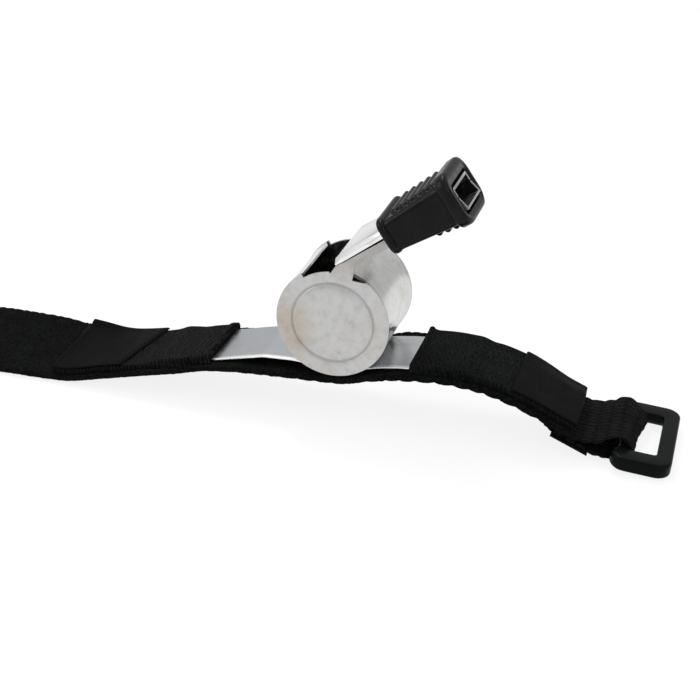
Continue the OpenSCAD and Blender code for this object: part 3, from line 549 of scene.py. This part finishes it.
def smooth_curve(knots, values, x):
    """A cubic through the values that never overshoots: harmonic-mean slopes at the knots."""
    chords = np.diff(values) / np.diff(knots)
    product, total = chords[:-1] * chords[1:], chords[:-1] + chords[1:]
    inner = np.where(product > 0, 2 * product / np.where(total == 0, 1, total), 0)
    slopes = np.concatenate([chords[:1], inner, chords[-1:]])
    i = np.clip(np.searchsorted(knots, x, side="right") - 1, 0, len(knots) - 2)
    span = knots[i + 1] - knots[i]
    return cubic(values[i], values[i + 1], slopes[i] * span, slopes[i + 1] * span,
                 (x - knots[i]) / span)


def eased(v):
    """A smooth step from 0 to 1."""
    v = np.clip(v, 0, 1)
    return v * v * (3 - 2 * v)


def tape_height(x):
    """Height of the tape's middle line: its course, raised where the tape turns on its side."""
    turn = np.radians(smooth_curve(course[0], course[2], x))
    return (smooth_curve(course[0], course[1], x) + half_tape * np.sin(turn)
            + tape_t / 2 * np.cos(turn))


def on_tape(x, y, t):
    """Points x along, y across and t square to the tape, in the part's own frame."""
    x, y, t = np.broadcast_arrays(*[np.asarray(v, float) for v in (x, y, t)])
    turn = np.radians(smooth_curve(course[0], course[2], x))
    slope = (tape_height(x + gap) - tape_height(x - gap)) / (2 * gap)
    sideways = stacked(0, np.cos(turn), np.sin(turn))
    upright = unit(np.cross(stacked(1, 0, slope), sideways))
    return (stacked(x + barrel_spot[0], 0, tape_height(x)) + y[..., None] * sideways
            + t[..., None] * upright)


def tape_line(x, t):
    """The strap's middle line, t off the tape's middle, as x and z from under the barrel."""
    return on_tape(x, 0, t)[..., ::2] - [barrel_spot[0], 0]


def band_ring(half, low, high, edge, across=24, bend=7):
    """A flat band's cross-section, a ring of (y, t): both faces and two half-round edges."""
    half, low, high = [v[..., None] for v in np.broadcast_arrays(half, low, high)]
    run = np.linspace(-1, 1, across) * (half - edge)
    turn = np.linspace(np.pi / 2, -np.pi / 2, bend + 2)[1:-1]
    right = stacked(half - edge + edge * np.cos(turn),
                    (low + high) / 2 + (high - low) / 2 * np.sin(turn))
    return np.concatenate([stacked(run, high), right, stacked(-run, low),
                           right[..., ::-1, :] * [-1, 1]], -2)


def run_length(points):
    """Length run along a row of points, up to each."""
    return np.concatenate([[0], np.cumsum(np.linalg.norm(np.diff(points, axis=0), axis=-1))])


def skin_faces(rows, columns, count=1):
    """Faces of closed skins, each over rows of rings of points, with its two ends closed."""
    starts = np.arange(count)[:, None, None] * rows * columns
    ends = np.array([[0], [(rows - 1) * columns]]) + np.arange(columns)
    return ((grid_faces(rows, columns, wrap_columns=True) + starts).reshape(-1, 4).tolist()
            + (ends + starts).reshape(-1, columns).tolist())


def skinned(name, points, finish, body, stands_for, along_mm=None):
    """A closed skin over rings of points, its uv in millimetres along and across."""
    rows, columns = points.shape[:2]
    if along_mm is None:
        along_mm = run_length(points[:, columns // 8])
    across_mm = run_length(np.append(points[rows // 2], points[rows // 2, :1], 0))
    corner = stacked(along_mm[:, None], across_mm)
    uv = np.stack([corner[:-1, :-1], corner[:-1, 1:], corner[1:, 1:], corner[1:, :-1]], 2)
    return make_piece(name, points, skin_faces(rows, columns), [finish], body, stands_for,
                      uv.reshape(-1, 2), sharp=70)


def uneven(x, pitch, seed):
    """Smooth random numbers from -1 to 1 along x, one knot to each pitch."""
    knots = np.arange(-130, 80, pitch)
    return np.interp(x, knots, np.random.default_rng(seed).uniform(-1, 1, len(knots)))


# ---- finger plate
# A long leaf of sprung steel, nickel plated, soldered under the barrel. Its two arms lift off
# the strap and run into the cloth sleeves, which hold it.
plate_t, plate_half, plate_end = 0.5, 7.3, 34.8
hug_x = barrel_r * math.sin(math.radians(20))
left_mouth, right_fold = 24.8, ring_side_reach - 12.6
right_mouth = right_fold - 18.6
left_shares = np.array([[0.07, 0.74], [0.245, 1], [0.485, 1], [0.63, 0.68]])
right_shares = np.array([[0.155, 0.15], [0.375, 0.2], [0.715, 0.05]])


def hug_height(x, radius):
    """The height at x of a circle round the barrel's axis."""
    return barrel_spot[2] - np.sqrt(radius ** 2 - x * x)


def arm_lift(x, side, shares, mouth):
    """How far an arm stands off the tape at a distance x from the barrel."""
    start = (hug_height(hug_x, barrel_r + plate_t) - tape_line(side * hug_x, tape_t / 2 + gap)[1])
    knots = np.concatenate([[hug_x], hug_x + shares[:, 0] * (mouth - hug_x), [mouth, mouth + 1.3]])
    return smooth_curve(knots, np.concatenate([[start], shares[:, 1] * 1.5, [0, 0]]), x)


xs = np.unique(np.concatenate([np.arange(-plate_end, -hug_x, 0.6), np.linspace(-hug_x, hug_x, 21),
                               np.arange(hug_x, 25.0, 0.6)]).round(4))
lift = np.where(xs < 0, arm_lift(-xs, -1, left_shares, left_mouth),
                arm_lift(xs, 1, right_shares, right_mouth))
lift = np.where((xs < -left_mouth) | (xs > right_mouth), 0, lift)
hugging = stacked(xs, hug_height(np.clip(xs, -hug_x, hug_x), barrel_r))
face = np.where((np.abs(xs) <= hug_x)[:, None], hugging,
                tape_line(xs, tape_t / 2 + gap + lift + plate_t))
ys = np.array([-plate_half, -6.75, -6.2, -3.5, 0, 3.5, plate_half])
leaf = stacked(face[:, :1] + barrel_spot[0], ys, face[:, 1:])
leaf_finish = metal_finish("plate_nickel", (0.51, 0.53, 0.56), (0.42, 0.41, 0.38), 110.0, 0.45,
                           0.22, 0.2, 0.05, 0.06, 0.2)
# Painted highlight: a bright strip along the near edge, standing in for the light a rounded edge
# would reflect.
metal_sheet("sprung_plate", leaf, grid_faces(*leaf.shape[:2])[:, ::-1], [leaf_finish],
            ["finger_plate"], np.broadcast_to([1, 0.9, 0, 0, 0, 0, 0], leaf.shape[:2]), plate_t,
            0.2, 3)

# ---- solder
# Tin solder run into the two corners between the barrel and the plate, lumpy and dull.
bead_y, bead_in, sunk = np.linspace(-7.1, 7.1, 60), 3.9, 0.02
beads = []
for side in (-1, 1):
    bead_out = 5.4 + (0.55 * uneven(bead_y * 3, 2.1, 11 + side)
                      + 0.25 * uneven(bead_y * 9, 2, side + 5))
    x = side * (bead_in + (bead_out[:, None] - bead_in) * np.linspace(0, 1, 7))
    upper = stacked(x, bead_y[:, None], hug_height(x, barrel_r) + sunk)
    lower = stacked(x, bead_y[:, None], np.interp(x, xs, face[:, 1]) - sunk)
    hollow = (upper[:, -1:] + lower[:, -1:]) / 2 - [side * 0.35, 0, 0]
    beads.append(np.concatenate([lower, hollow, upper[:, ::-1]], 1) + [barrel_spot[0], 0, 0])
solder = plain_finish("tin_solder", (1500.0, 3.0), 0.03, (0.45, 0.44, 0.43),
                      (0.7, 0.4), {"Metallic": 0.9}, (0.42, 0.62), (0.8, 0.0003))
make_piece("solder_beads", beads, skin_faces(*beads[0].shape[:2], 2), [solder],
           "whistle", ["solder_fillets"])

# ---- strap tape
# Black nylon loop tape 19 mm wide and 1.3 mm thick. Its face is a napped pile, and the rows of
# stitching pull its edges into small scallops. It bends with the strap, so it is made in
# three lengths that meet under the whistle and in the middle of the tail.
weave, given, made = group_tree("weave", "Thread uv", ["Pitch", "Angle", "Uneven"],
                                ["Height", "Shade"])
turn = node(weave, "ShaderNodeVectorRotate",
            {"Vector": given["Thread uv"], "Angle": given["Angle"]},
            rotation_type="Z_AXIS").outputs[0]
wander, hair = noise(turn, 0.7, 2.0), noise(turn, 6.0, 3.0, 0.7)
ways = node(weave, "ShaderNodeSeparateXYZ", {0: turn}).outputs
rows = 0.5
along = plus(ways[0], times(wander, given["Uneven"]))
for way, per_pitch, share in ((along, 1, 0.35), (ways[1], 1.5, 0.15)):
    phase = times(maths("DIVIDE", way, given["Pitch"]), 2 * math.pi * per_pitch)
    rows = plus(times(maths("SINE", phase, 0.0), share), rows)
fill(made, {"Height": plus(rows, times(hair, 0.5)), "Shade": times(rows, plus(hair, 0.5))})


def cloth_finish(name, dark, light, pitch, angle, uneven_share, strength, gloss=0.1,
                 rough=0.85, nap=0.0, gap_shade_from=None):
    """Black cloth: rows of thread on the piece's own uv, and worn mottling. Its last argument names
    the piece's own values, by which the colour is darkened as painted shade in the gaps between
    raised threads."""
    material, tree, shader, place = new_material(name)
    uv = node(tree, "ShaderNodeUVMap", uv_map="cloth").outputs[0]
    threads = node(tree, "ShaderNodeGroup", node_tree=weave)
    fill(threads, {"Thread uv": uv, "Pitch": pitch, "Angle": math.radians(angle),
                   "Uneven": uneven_share})
    height, shade = threads.outputs
    mottle = noise(place, 240.0, 4.0, 0.65)
    pile = noise(place, 1800.0, 4.0, 0.75)
    share = plus(times(shade, 0.6 * (1 - nap)), times(pile, 0.4 + 0.6 * nap))
    share = faded(plus(share, times(mottle, 0.4)), 0.52, 0.95)
    # Painted shade: the colour darkens in the gaps between the raised threads.
    if gap_shade_from:
        above = node(tree, "ShaderNodeAttribute", attribute_name=gap_shade_from).outputs["Fac"]
        share = times(share, times(above, 1.6), True)
    fill(shader, {"Base Color": blended(share, dark, light),
                  "Roughness": faded(mottle, 0.3, 0.7, rough - 0.06, rough + 0.06),
                  "Specular IOR Level": gloss})
    relief(shader, plus(times(height, 1 - nap), times(pile, 0.6 + nap)), strength, 0.00025)
    return material


loop_pile = cloth_finish("loop_pile", (0.0007, 0.0008, 0.0008), (0.0086, 0.0091, 0.0091), 0.7, 0,
                         0.8, 1.0, 0.05, 0.9, 0.97)


def tape_length(name, start, end, body, stands_for):
    """A length of the tape with scalloped edges and a slightly uneven face."""
    x = np.linspace(start, end, int(abs(end - start) / 0.35) + 1)
    near = ((0.36 + 0.3 * eased((x - 6) / 8))
            * np.abs(np.sin(np.pi * (x + 0.8 * uneven(x, 5, 3)) / 3.3)) ** 0.7 - 0.28)
    near = near * eased((x + 27) / 10) + 0.04 * uneven(x, 0.7, 4)
    far = 0.2 * np.abs(np.sin(np.pi * (x + 0.5 * uneven(x, 3, 8)) / 1.9)) ** 0.7 - 0.12
    ring = band_ring(half_tape, -tape_t / 2, tape_t / 2 + 0.03 * uneven(x, 1.3, 9), 0.5, 30)
    nap = np.random.default_rng(5).normal(0, 0.024, ring.shape)
    nap[[0, -1]] = 0
    y = (ring[..., 0] + nap[..., 0] + far[:, None] * eased((ring[..., 0] - 7.5) / 2)
         - near[:, None] * eased((-ring[..., 0] - 7.5) / 2))
    curl = 0.75 * np.exp(-((x[:, None] - 10.5) / 5) ** 2) * eased((y - 7.6) / 1.8)
    points = on_tape(x[:, None], y, ring[..., 1] + nap[..., 1] + curl)
    piece = skinned(name, points, loop_pile, body, stands_for, x)
    return piece


def bend_over(piece):
    """Bakes the piece's placement into its points."""
    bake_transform(piece)


tail_fold, tip_fold, tail_seam = 60.6, 82.0, 71.3
bend_over(tape_length("tape_to_ring", 0.0, ring_side_reach, None,
                      ["strap_middle", "strap_right_end"]))
bend_over(tape_length("tape_to_tail", -tail_seam, 0.0, None, ["strap_tail"]))
bend_over(tape_length("tape_tail_end", -tail_reach, -tail_seam, None, ["strap_tail_tip"]))

# ---- cloth sleeves
# Twill sleeves stitched over the tape, which hold the plate's two arms. Each mouth is turned
# in for a thick hem. The ring side's sleeve goes on under the label and bends with the strap.
sleeve_half, sleeve_inner, sleeve_t, hem_l, hem_t = 8.5, 7.35, 1.1, 1.3, 0.35
left_sleeve_end = 58.4
tape_face = tape_t / 2 + gap


def droop(x, y):
    """How far the strap's far edge hangs down towards the ring."""
    return 0.8 * eased((x - 33) / 10) * eased((y - 3) / 5.5)


def mouth_sag(x, y):
    """How far the left sleeve's far edge hangs down towards its mouth."""
    return 0.85 * eased((x + 36) / 9) * (x < 0) * eased((y - 6.9) / 1.4)


def sleeve_low(x):
    """How far a sleeve's underside stands off the tape's middle: over the plate, then down."""
    past = np.where(x < 0, -x - plate_end, x - (right_mouth + 10)) / (3 * sleeve_t)
    return tape_face + (plate_t + gap) * (1 - eased(past))


def sleeve_ring(low, high):
    """A sleeve's cross-section, a ring of (y, t): a rounded top, two sides, and the hollow."""
    low, high = low[:, None], high[:, None]
    turn = np.linspace(0, np.pi / 2, 7)
    rounding = np.minimum(0.55, (high - tape_face) * 0.8)
    left = stacked(-sleeve_half + rounding * (1 - np.cos(turn)),
                   high - rounding * (1 - np.sin(turn)))
    feet = [stacked(y, tape_face + 0 * high)
            for y in (-sleeve_half, sleeve_half, sleeve_inner, -sleeve_inner)]
    over = stacked((sleeve_half - rounding) * np.linspace(-1, 1, 30)[1:-1], high)
    return np.concatenate([feet[0], left, over, left[:, ::-1] * [-1, 1], *feet[1:3],
                           stacked(sleeve_inner * np.linspace(1, -1, 9), low), feet[3]], 1)


def sleeve_length(name, mouth, end, finish, body, stands_for, seed):
    """A sleeve from its hemmed mouth to its end, the hem a soft roll across it."""
    side, reach = np.sign(end - mouth), abs(end - mouth)
    past = np.concatenate([np.linspace(0, hem_l, 15), np.arange(hem_l + 0.3, reach, 0.3), [reach]])
    x = mouth + side * past
    low = sleeve_low(x)
    roll = np.sqrt(np.clip(np.sin(np.pi * np.clip(past / hem_l, 0.004, 1)), 0, 1))
    lead = np.sqrt(np.clip(past / 0.25, 0, 1))
    high = low + sleeve_t * (0.55 + 0.45 * lead) + hem_t * roll + 0.05 * uneven(x, 2.2, seed)
    y, t = np.moveaxis(sleeve_ring(low, high), -1, 0)
    at = x[:, None]
    knob = np.exp(-((at - mouth - side * 0.7) / 0.9) ** 2 - (y - sleeve_half) ** 2)
    share = np.clip((t - tape_face) / (high - tape_face)[:, None], 0, 1)
    t = t + (0.3 * knob - droop(at, y) - mouth_sag(at, y)) * share
    points = on_tape(at + 0.6 * knob * share * (side < 0), y + 0.35 * knob * share, t)
    piece = skinned(name, points, finish, body, stands_for, x)
    return piece


twill = cloth_finish("sleeve_twill", 0.0009, (0.0165, 0.0165, 0.0161), 0.84,
                     5, 1.5, 0.55, 0.04, 0.85, 0.4)
knit = cloth_finish("sleeve_knit", (0.0012, 0.0014, 0.0014), (0.014, 0.015, 0.015), 0.8,
                    -20, 2.4, 0.9, 0.05, 0.88, 0.6)
sleeve_length("left_sleeve_cloth", -left_mouth, -left_sleeve_end, twill, "whistle",
              ["left_sleeve"], 21)
bend_over(sleeve_length("right_sleeve_cloth", right_mouth, ring_side_reach, knit, None,
                        ["right_sleeve", "right_sleeve_end"], 22))

# ---- sewn labels
# Smooth woven satin labels sewn across the sleeves, left plain. Their cut ends run a little
# askew, and the ring side's has a second flap turned back under the strap.
satin = cloth_finish("label_satin", (0.0013, 0.0014, 0.0015), (0.0048, 0.005, 0.0055), 0.22, 0,
                     0.1, 0.3, 0.035, 0.6)
label_half, label_t, right_label_start = 8.6, 0.4, 33.9


def label_cloth(name, start, end, base, body, stands_for, half=label_half, thick=label_t):
    """A thin satin strip with rounded edges between two ends, each given at its near and far
    edge, on a base that gives the height of what is under it."""
    share = np.linspace(0, 1, 60)[:, None]
    ends = np.clip(np.minimum(share, 1 - share)[:, 0] / 0.02, 0, 1)
    y, t = np.moveaxis(band_ring(half, 0, thick * (0.35 + 0.65 * np.sqrt(ends)), 0.3, 34, 5),
                       -1, 0)
    start, end = [at[0] + (at[1] - at[0]) * (y / half + 1) / 2 for at in (start, end)]
    x = start + (end - start) * share
    return skinned(name, on_tape(x, y, base(x, y) + t), satin, body, stands_for)


def on_sleeve(x):
    """The face that a label lies on: the top of its sleeve."""
    return sleeve_low(x) + sleeve_t + 0.1


def far_lip(x, y):
    """The left label's far edge stands up in a fold over its first part."""
    return 0.85 * (1 - eased((x + 55) / 9)) * eased((y - 6.6) / 2)


left_label = label_cloth("left_label_cloth", (-59.7, -57.4), (-43.6, -39.9),
                         lambda x, y: on_sleeve(x) + far_lip(x, y), "whistle", ["left_label"])
web_t = 0.65
flap_low = -(tape_face + web_t) - web_t - 3 * gap - label_t
right_label = label_cloth("right_label_cloth", [right_label_start] * 2, [ring_side_reach] * 2,
                          lambda x, y: on_sleeve(x) - droop(x, y), "ring_side", ["right_label"])
flap = label_cloth("label_flap_cloth", [ring_side_reach - 3] * 2, [ring_side_reach + 4] * 2,
                   lambda x, y: flap_low, "ring_side", ["label_flap"], 9.0, label_t + 0.2)

# ---- webbing
# A short piece of ribbed nylon webbing sewn under the strap's end. It loops over the ring's bar
# and back, arching up before the bar, and its coarse weave stands out in relief.
web_span, web_w, bar_r, ring_l, ring_t, chamfer = 9.5, 17, 1.4, 9.1, 2.8, 0.5
ring_reach = ring_side_reach + web_span
bar_z = web_t + gap + bar_r
wrap_r = bar_r + gap + web_t / 2
web_top_t = -(tape_face + web_t / 2)
web_low_t = web_top_t - web_t - gap
web_start, web_reach = ring_side_reach - 4.6, ring_side_reach + 4.0
out_x, out_z = tape_line(ring_side_reach, web_top_t)
loop_rise, free_l = 2.7, ring_reach - out_x
web_knots = np.concatenate([
    tape_line(np.linspace(web_start, ring_side_reach, 5), web_top_t),
    [[out_x + free_l * 0.33, out_z - web_t * 0.6],
     [out_x + free_l * 0.58, bar_z + loop_rise * 0.8],
     [out_x + free_l * 0.8, bar_z + loop_rise * 1.12],
     [ring_reach + 0.1, bar_z + loop_rise * 1.06]],
    [ring_reach, bar_z] + on_circle(np.radians(np.arange(27, -91, -13)), wrap_r),
    [[ring_reach - bar_r, bar_z - wrap_r]],
    tape_line(np.linspace(web_reach, web_start, 7), web_low_t)])


def through(knots, parts):
    """A smooth curve through the knots, with parts steps from each to the next."""
    slopes = (np.append(knots[1:], knots[-1:], 0) - np.append(knots[:1], knots[:-1], 0)) / 2
    line = cubic(*[v[:, None] for v in (knots[:-1], knots[1:], slopes[:-1], slopes[1:])],
                 (np.arange(parts) / parts)[:, None])
    return np.append(line.reshape(-1, 2), knots[-1:], 0)


line = through(web_knots, 12)
reach = run_length(line)
even = np.linspace(0, reach[-1], int(reach[-1] / 0.2))
line = np.stack([np.interp(even, reach, line[:, k]) for k in (0, 1)], -1)
out_of_face = unit(np.gradient(line, axis=0))[:, ::-1] * [-1, 1]
web_half = web_w / 2 - eased((line[:, 0] - web_reach) / (ring_reach - wrap_r - web_reach))
web_half += 0.12 * uneven(even * 2, 1.6, 31)
web_half -= 1.1 * (1 - eased(np.minimum(even, even[-1] - even) / 2.5))
y, t = np.moveaxis(band_ring(web_half, -web_t / 2, web_t / 2, 0.32, 76, 6), -1, 0)
cord_pitch, float_l = 1.25, 2.4
lane, inside = np.divmod(y / cord_pitch + 100, 1)
hump = np.sqrt(np.clip(1 - (2 * inside - 1) ** 2, 0, 1))
beat = np.abs(np.sin(np.pi * (even[:, None] / float_l + 0.12 * (lane % 2))))
cord_rise_and_shade = hump * beat ** 0.6
lift = t + np.sign(t) * (0.28 * cord_rise_and_shade - 0.19) * (np.abs(t) > web_t * 0.3)
over_bar = np.exp(-((line[:, 0] - ring_reach + 1.2) / 2.4) ** 2) * eased((line[:, 1] - 2.6) / 1.4)
past_bar = eased((line[:, 0] - ring_reach) / 1.6) * eased((line[:, 1] - 0.9) / 1.2)
bulge = stacked(1.1 * past_bar, 0.9 * over_bar)[:, None] * eased((y + 2) / 8)[..., None]
spot = line[:, None] + out_of_face[:, None] * lift[..., None] + bulge
webbing = cloth_finish("ribbed_webbing", (0.0006, 0.0006, 0.0007), (0.015, 0.0142, 0.0148), 0.3,
                       90, 0.15, 0.6, 0.04, 0.6, gap_shade_from="cord_rise_and_shade")
web_piece = skinned("ribbed_loop", stacked(spot[..., 0] + barrel_spot[0], y, spot[..., 1]),
                    webbing, "ring_side", ["webbing_tab"])
# The cords' values also paint shade into the gaps between the cords.
mark(web_piece, "cord_rise_and_shade", cord_rise_and_shade)

# ---- ring
# A moulded nylon ring, satin black: a rectangular frame with a round bar at the back for the
# webbing, broad eased edges and a slot that takes the strap's tail.
half_t = ring_t / 2
low_reach = math.hypot(ring_l - chamfer, half_t)
ring_tilt = math.asin(bar_z / low_reach) - math.atan(half_t / (ring_l - chamfer))
ring_outer, ring_inner = [
    rounded_ring(*np.array(sizes)[:, None], flat=12, bend=10)[0, :, ::-1]
    for sizes in ((11.75, -bar_r, ring_l, 2.9), (7.8, bar_r, ring_l - 3.0, 0.7))]
ring_outer[:, 0] -= (0.9 * eased((np.abs(ring_outer[:, 1]) - 7.9) / 1.2)
                     * eased((3 - ring_outer[:, 0]) / 4))
at_bar = np.clip((bar_r + 0.4 - ring_inner[:, 0]) / 0.5, 0, 1) * (np.abs(ring_inner[:, 1]) < 7.7)
bar_ease, slot_ease = 1.3, 0.3
ease_outer = chamfer + (bar_ease - chamfer) * at_bar
ease_inner = slot_ease + (bar_ease - slot_ease) * at_bar
ease_under = ease_inner + 1.3 * eased((ring_inner[:, 1] - 7.0) / 0.6) * (1 - at_bar)
quarter = np.linspace(0, np.pi / 2, 6)
toward = ring_inner - ring_outer
width = np.linalg.norm(toward, axis=-1)
section = []
for ease, at_slot, side, order in ((ease_outer, 0, -1, -1), (ease_outer, 0, 1, 1),
                                   (ease_inner, 1, 1, -1), (ease_under, 1, -1, 1)):
    inset, drop = [ease * (1 - wave(quarter[::order]))[:, None] for wave in (np.cos, np.sin)]
    inset = width - inset if at_slot else inset
    flat_x, flat_y = np.moveaxis(ring_outer + toward * (inset / width)[..., None], -1, 0)
    section.append(stacked(flat_x, flat_y, side * (half_t - drop)))
section = np.concatenate(section)
moulded = plain_finish("moulded_nylon", (180.0, 3.0, 0.55), (0.0012, 0.0016, 0.0018),
                       (0.0032, 0.0041, 0.0045), (0.26, 0.36), {"Specular IOR Level": 0.06},
                       bump=(0.25, 0.0001), fine=(4200.0, 2.0, 0.5, 0.25))
make_piece("moulded_ring", turned(section, -ring_tilt) + [ring_reach, 0, bar_z - barrel_spot[2]],
           grid_faces(*section.shape[:2], True, True), [moulded], "ring",
           ["strap_ring"])

# ---- stitching
# Black polyester thread: whipped over the sleeves' edges, and run across the labels' ends.
thread = plain_finish("sewing_thread", (3000.0, 2.0), (0.0012, 0.0014, 0.0014),
                      (0.007, 0.0077, 0.0077), (0.5, 0.7), {"Specular IOR Level": 0.06})


def threads(name, paths, radius, body, stands_for, guide, finish=thread, sides=6):
    """Round threads with closed ends, each along its own row of points in the part's frame."""
    count, steps = paths.shape[:2]
    ahead = unit(np.gradient(paths, axis=1))
    beside = unit(np.cross(ahead, guide))
    thick = radius * np.interp(np.arange(steps), [0, 1, steps - 2, steps - 1], [0.5, 1, 1, 0.5])
    turn = (np.arange(sides) * 2 * np.pi / sides)[:, None]
    points = paths[:, :, None] + thick[:, None, None] * (
        beside[:, :, None] * np.cos(turn) + np.cross(beside, ahead)[:, :, None] * np.sin(turn))
    return make_piece(name, points, skin_faces(steps, sides, count), [finish], body,
                      stands_for)


def whipped(start, end, side, seed, pitch=0.78, loose=0.1):
    """Stitches over a sleeve's edge, from its rim round the side and down to the tape."""
    wander = np.random.default_rng(seed)
    x = np.arange(start, end, pitch)
    x = (x + wander.uniform(-loose, loose, len(x)))[:, None]
    slant = wander.uniform(0.3, 0.3 + 3 * loose, (len(x), 1))
    sunk = 0.22 if side > 0 else 0.05
    y = side * (sleeve_half - sunk + np.array([-0.55, -0.35, -0.12, 0.08, 0.15, 0.14, 0.1]))
    down = np.array([-0.02, 0.05, 0.0, -0.22, -0.5, -0.85, -1.1])
    t = np.maximum(sleeve_low(x) + sleeve_t - sunk + down - mouth_sag(x, y), tape_face + 0.04)
    t -= droop(x, y) * (down > -0.5)
    return on_tape(x + slant * np.linspace(-0.5, 0.7, 7), y, t)


def run_across(x_near, x_far, sunk=0.0, half=8.1):
    """A row of flat stitches across a label."""
    y = np.arange(-half, half, 1.25)[:, None] + np.linspace(0, 0.95, 6)
    x = x_near + (x_far - x_near) * (y / half + 1) / 2
    return on_tape(x, y, on_sleeve(x) + label_t - sunk
                   + 0.05 * np.sin(np.linspace(0, np.pi, 6)) - 0.01)


left_whip = [whipped(-59.0, -left_mouth - 1.5, side, 40 + side) for side in (-1, 1)]
right_whip = [whipped(right_mouth + 1.5, 46.0, side, 50 + side, 0.95, 0.3) for side in (-1, 1)]
threads("left_whip_stitches", np.concatenate(left_whip), 0.15, "whistle",
        ["left_sleeve_stitches"], (1, 0.03, 0.02))
bend_over(threads("right_whip_stitches", np.concatenate(right_whip), 0.14, None,
                  ["right_sleeve_stitches"], (1, 0.03, 0.02)))
threads("left_label_thread", np.concatenate([run_across(-58.9, -56.7), run_across(-44.4, -40.9)]),
        0.09, "whistle", ["left_label_stitches"], (1, 0.02, 0.03))
threads("right_label_thread", np.concatenate([run_across(34.7, 34.7, 0.03, 7.0),
                                              run_across(45.6, 45.6, 0.03, 5.0)]),
        0.08, "ring_side", ["right_label_stitches"], (1, 0.02, 0.03))

# ---- hook patch
# The tail's end carries a patch of moulded hooks, sewn on along its sides: a stiff tape with
# rows of small bent stems.
patch_from, patch_l, patch_half = -tail_reach + 1.5, 32.0, 8.5
patch_base = tape_t / 2 + 0.15
hook_nylon = plain_finish("hook_nylon", (900.0, 2.0), (0.004, 0.004, 0.0045),
                          (0.014, 0.014, 0.015), (0.35, 0.5), {"Specular IOR Level": 0.25})
x = np.linspace(patch_from, patch_from + patch_l, 60)
y, t = np.moveaxis(band_ring(patch_half, patch_base - 0.02,
                             patch_base + 0.42 + 0.02 * uneven(x, 1.5, 61), 0.2, 24, 5), -1, 0)
skinned("hook_backing", on_tape(x[:, None], y, t), hook_nylon, "tail_end",
        ["hook_patch"], x)
hook_x, hook_y = np.meshgrid(np.arange(patch_from + 1, patch_from + patch_l - 0.6, 1.25),
                             np.arange(-6.6, 6.7, 1.1), indexing="ij")
hook_x = (hook_x + np.where(np.arange(hook_x.shape[1]) % 2, 0.3, -0.3)).reshape(-1, 1)
hook_y = hook_y.reshape(-1, 1)
curl = np.array([0, 0.02, 0.1, 0.28, 0.42, 0.4]) * np.where(hook_y * 10 % 2 > 1, 1, -1)
rise = np.array([0, 0.22, 0.42, 0.5, 0.38, 0.24])
threads("hook_stems", on_tape(hook_x + curl, hook_y, patch_base + 0.4 + rise), 0.075, "tail_end",
        (), (0.03, 1, 0.02), hook_nylon, 5)
seam_x = np.arange(patch_from + 0.6, patch_from + patch_l - 2, 2.2)[:, None]
seam_t = patch_base + 0.46 + 0.05 * np.sin(np.linspace(0, np.pi, 6))
runs = np.concatenate([on_tape(seam_x + np.linspace(0, 1.5, 6), side * 7.6, seam_t)
                       for side in (-1, 1)])
threads("hook_patch_thread", runs, 0.13, "tail_end", ["hook_stitches"], (0, 0.02, 1))

# ---- the setting
# A plain pale floor, a white world seen behind it, soft lamps and the camera.
floor_mesh = bpy.data.meshes.new("floor")
floor_mesh.from_pydata([(x, y, -0.0003) for x, y in ((-3, -3), (3, -3), (3, 3), (-3, 3))], [],
                       [(0, 1, 2, 3)])
pale, tree, shader, place = new_material("pale_floor")
floor_mesh.materials.append(pale)
in_scene("floor", floor_mesh)
rays = node(tree, "ShaderNodeLightPath").outputs
fill(shader, {"Base Color": blended(rays["Is Camera Ray"], 0.74, 0.97), "Roughness": 0.9,
              "Specular IOR Level": 0.0})
shine = node(tree, "ShaderNodeEmission", {"Strength": 1.0})
away = node(tree, "ShaderNodeVectorMath", {0: place}, operation="LENGTH").outputs[1]
shown = maths("MAXIMUM", rays["Is Camera Ray"], rays["Is Glossy Ray"])
veil = node(tree, "ShaderNodeMixShader", {0: times(shown, faded(away, 0.12, 0.6, 0.85, 1.0)),
                                          1: shader.outputs[0], 2: shine.outputs[0]})
fill(tree.nodes["Material Output"], {"Surface": veil.outputs[0]})

scene = bpy.context.scene
scene.view_settings.view_transform = "Standard"
scene.world = bpy.data.worlds.new("studio")
scene.world.use_nodes = True
tree = scene.world.node_tree
way = node(tree, "ShaderNodeSeparateXYZ",
           {0: node(tree, "ShaderNodeTexCoord").outputs["Generated"]}).outputs
seen = node(tree, "ShaderNodeLightPath").outputs["Is Camera Ray"]
fill(tree.nodes["Background"], {
    "Strength": maths("MAXIMUM", seen, faded(way[2], 0.1, 0.9, 0.62, 0.92)),
    "Color": (1, 1, 1, 1)})

for name, spot, size, power in (("key", (-0.12, 0.22, 0.62), 0.22, 1.6),
                                ("front", (0.45, -0.5, 0.45), 0.35, 0.7),
                                ("left", (-0.5, -0.2, 0.27), 0.3, 0.9)):
    light = bpy.data.lights.new(name, "AREA")
    light.size, light.energy = size, power
    lamp = in_scene(name, light)
    lamp.location = spot
    aim = Vector((0.03, 0, 0.02)) - Vector(spot)
    lamp.rotation_euler = aim.to_track_quat("-Z", "Y").to_euler()

lens = bpy.data.cameras.new("camera")
lens.lens, lens.sensor_width, lens.clip_start = 76.26, 36, 0.01
right, upward, forward = turned([[0.9584, 0.2758, -0.0733], [-0.0505, 0.4168, 0.9076],
                                 [-0.2809, 0.8661, -0.4134]], lean) - barrel_spot
view = Matrix((right, upward, -forward)).transposed().to_4x4()
view.translation = Vector(turned([81.5, -250.8, 110.0], lean) * MM)
scene.camera = in_scene("camera", lens)
scene.camera.matrix_world = view
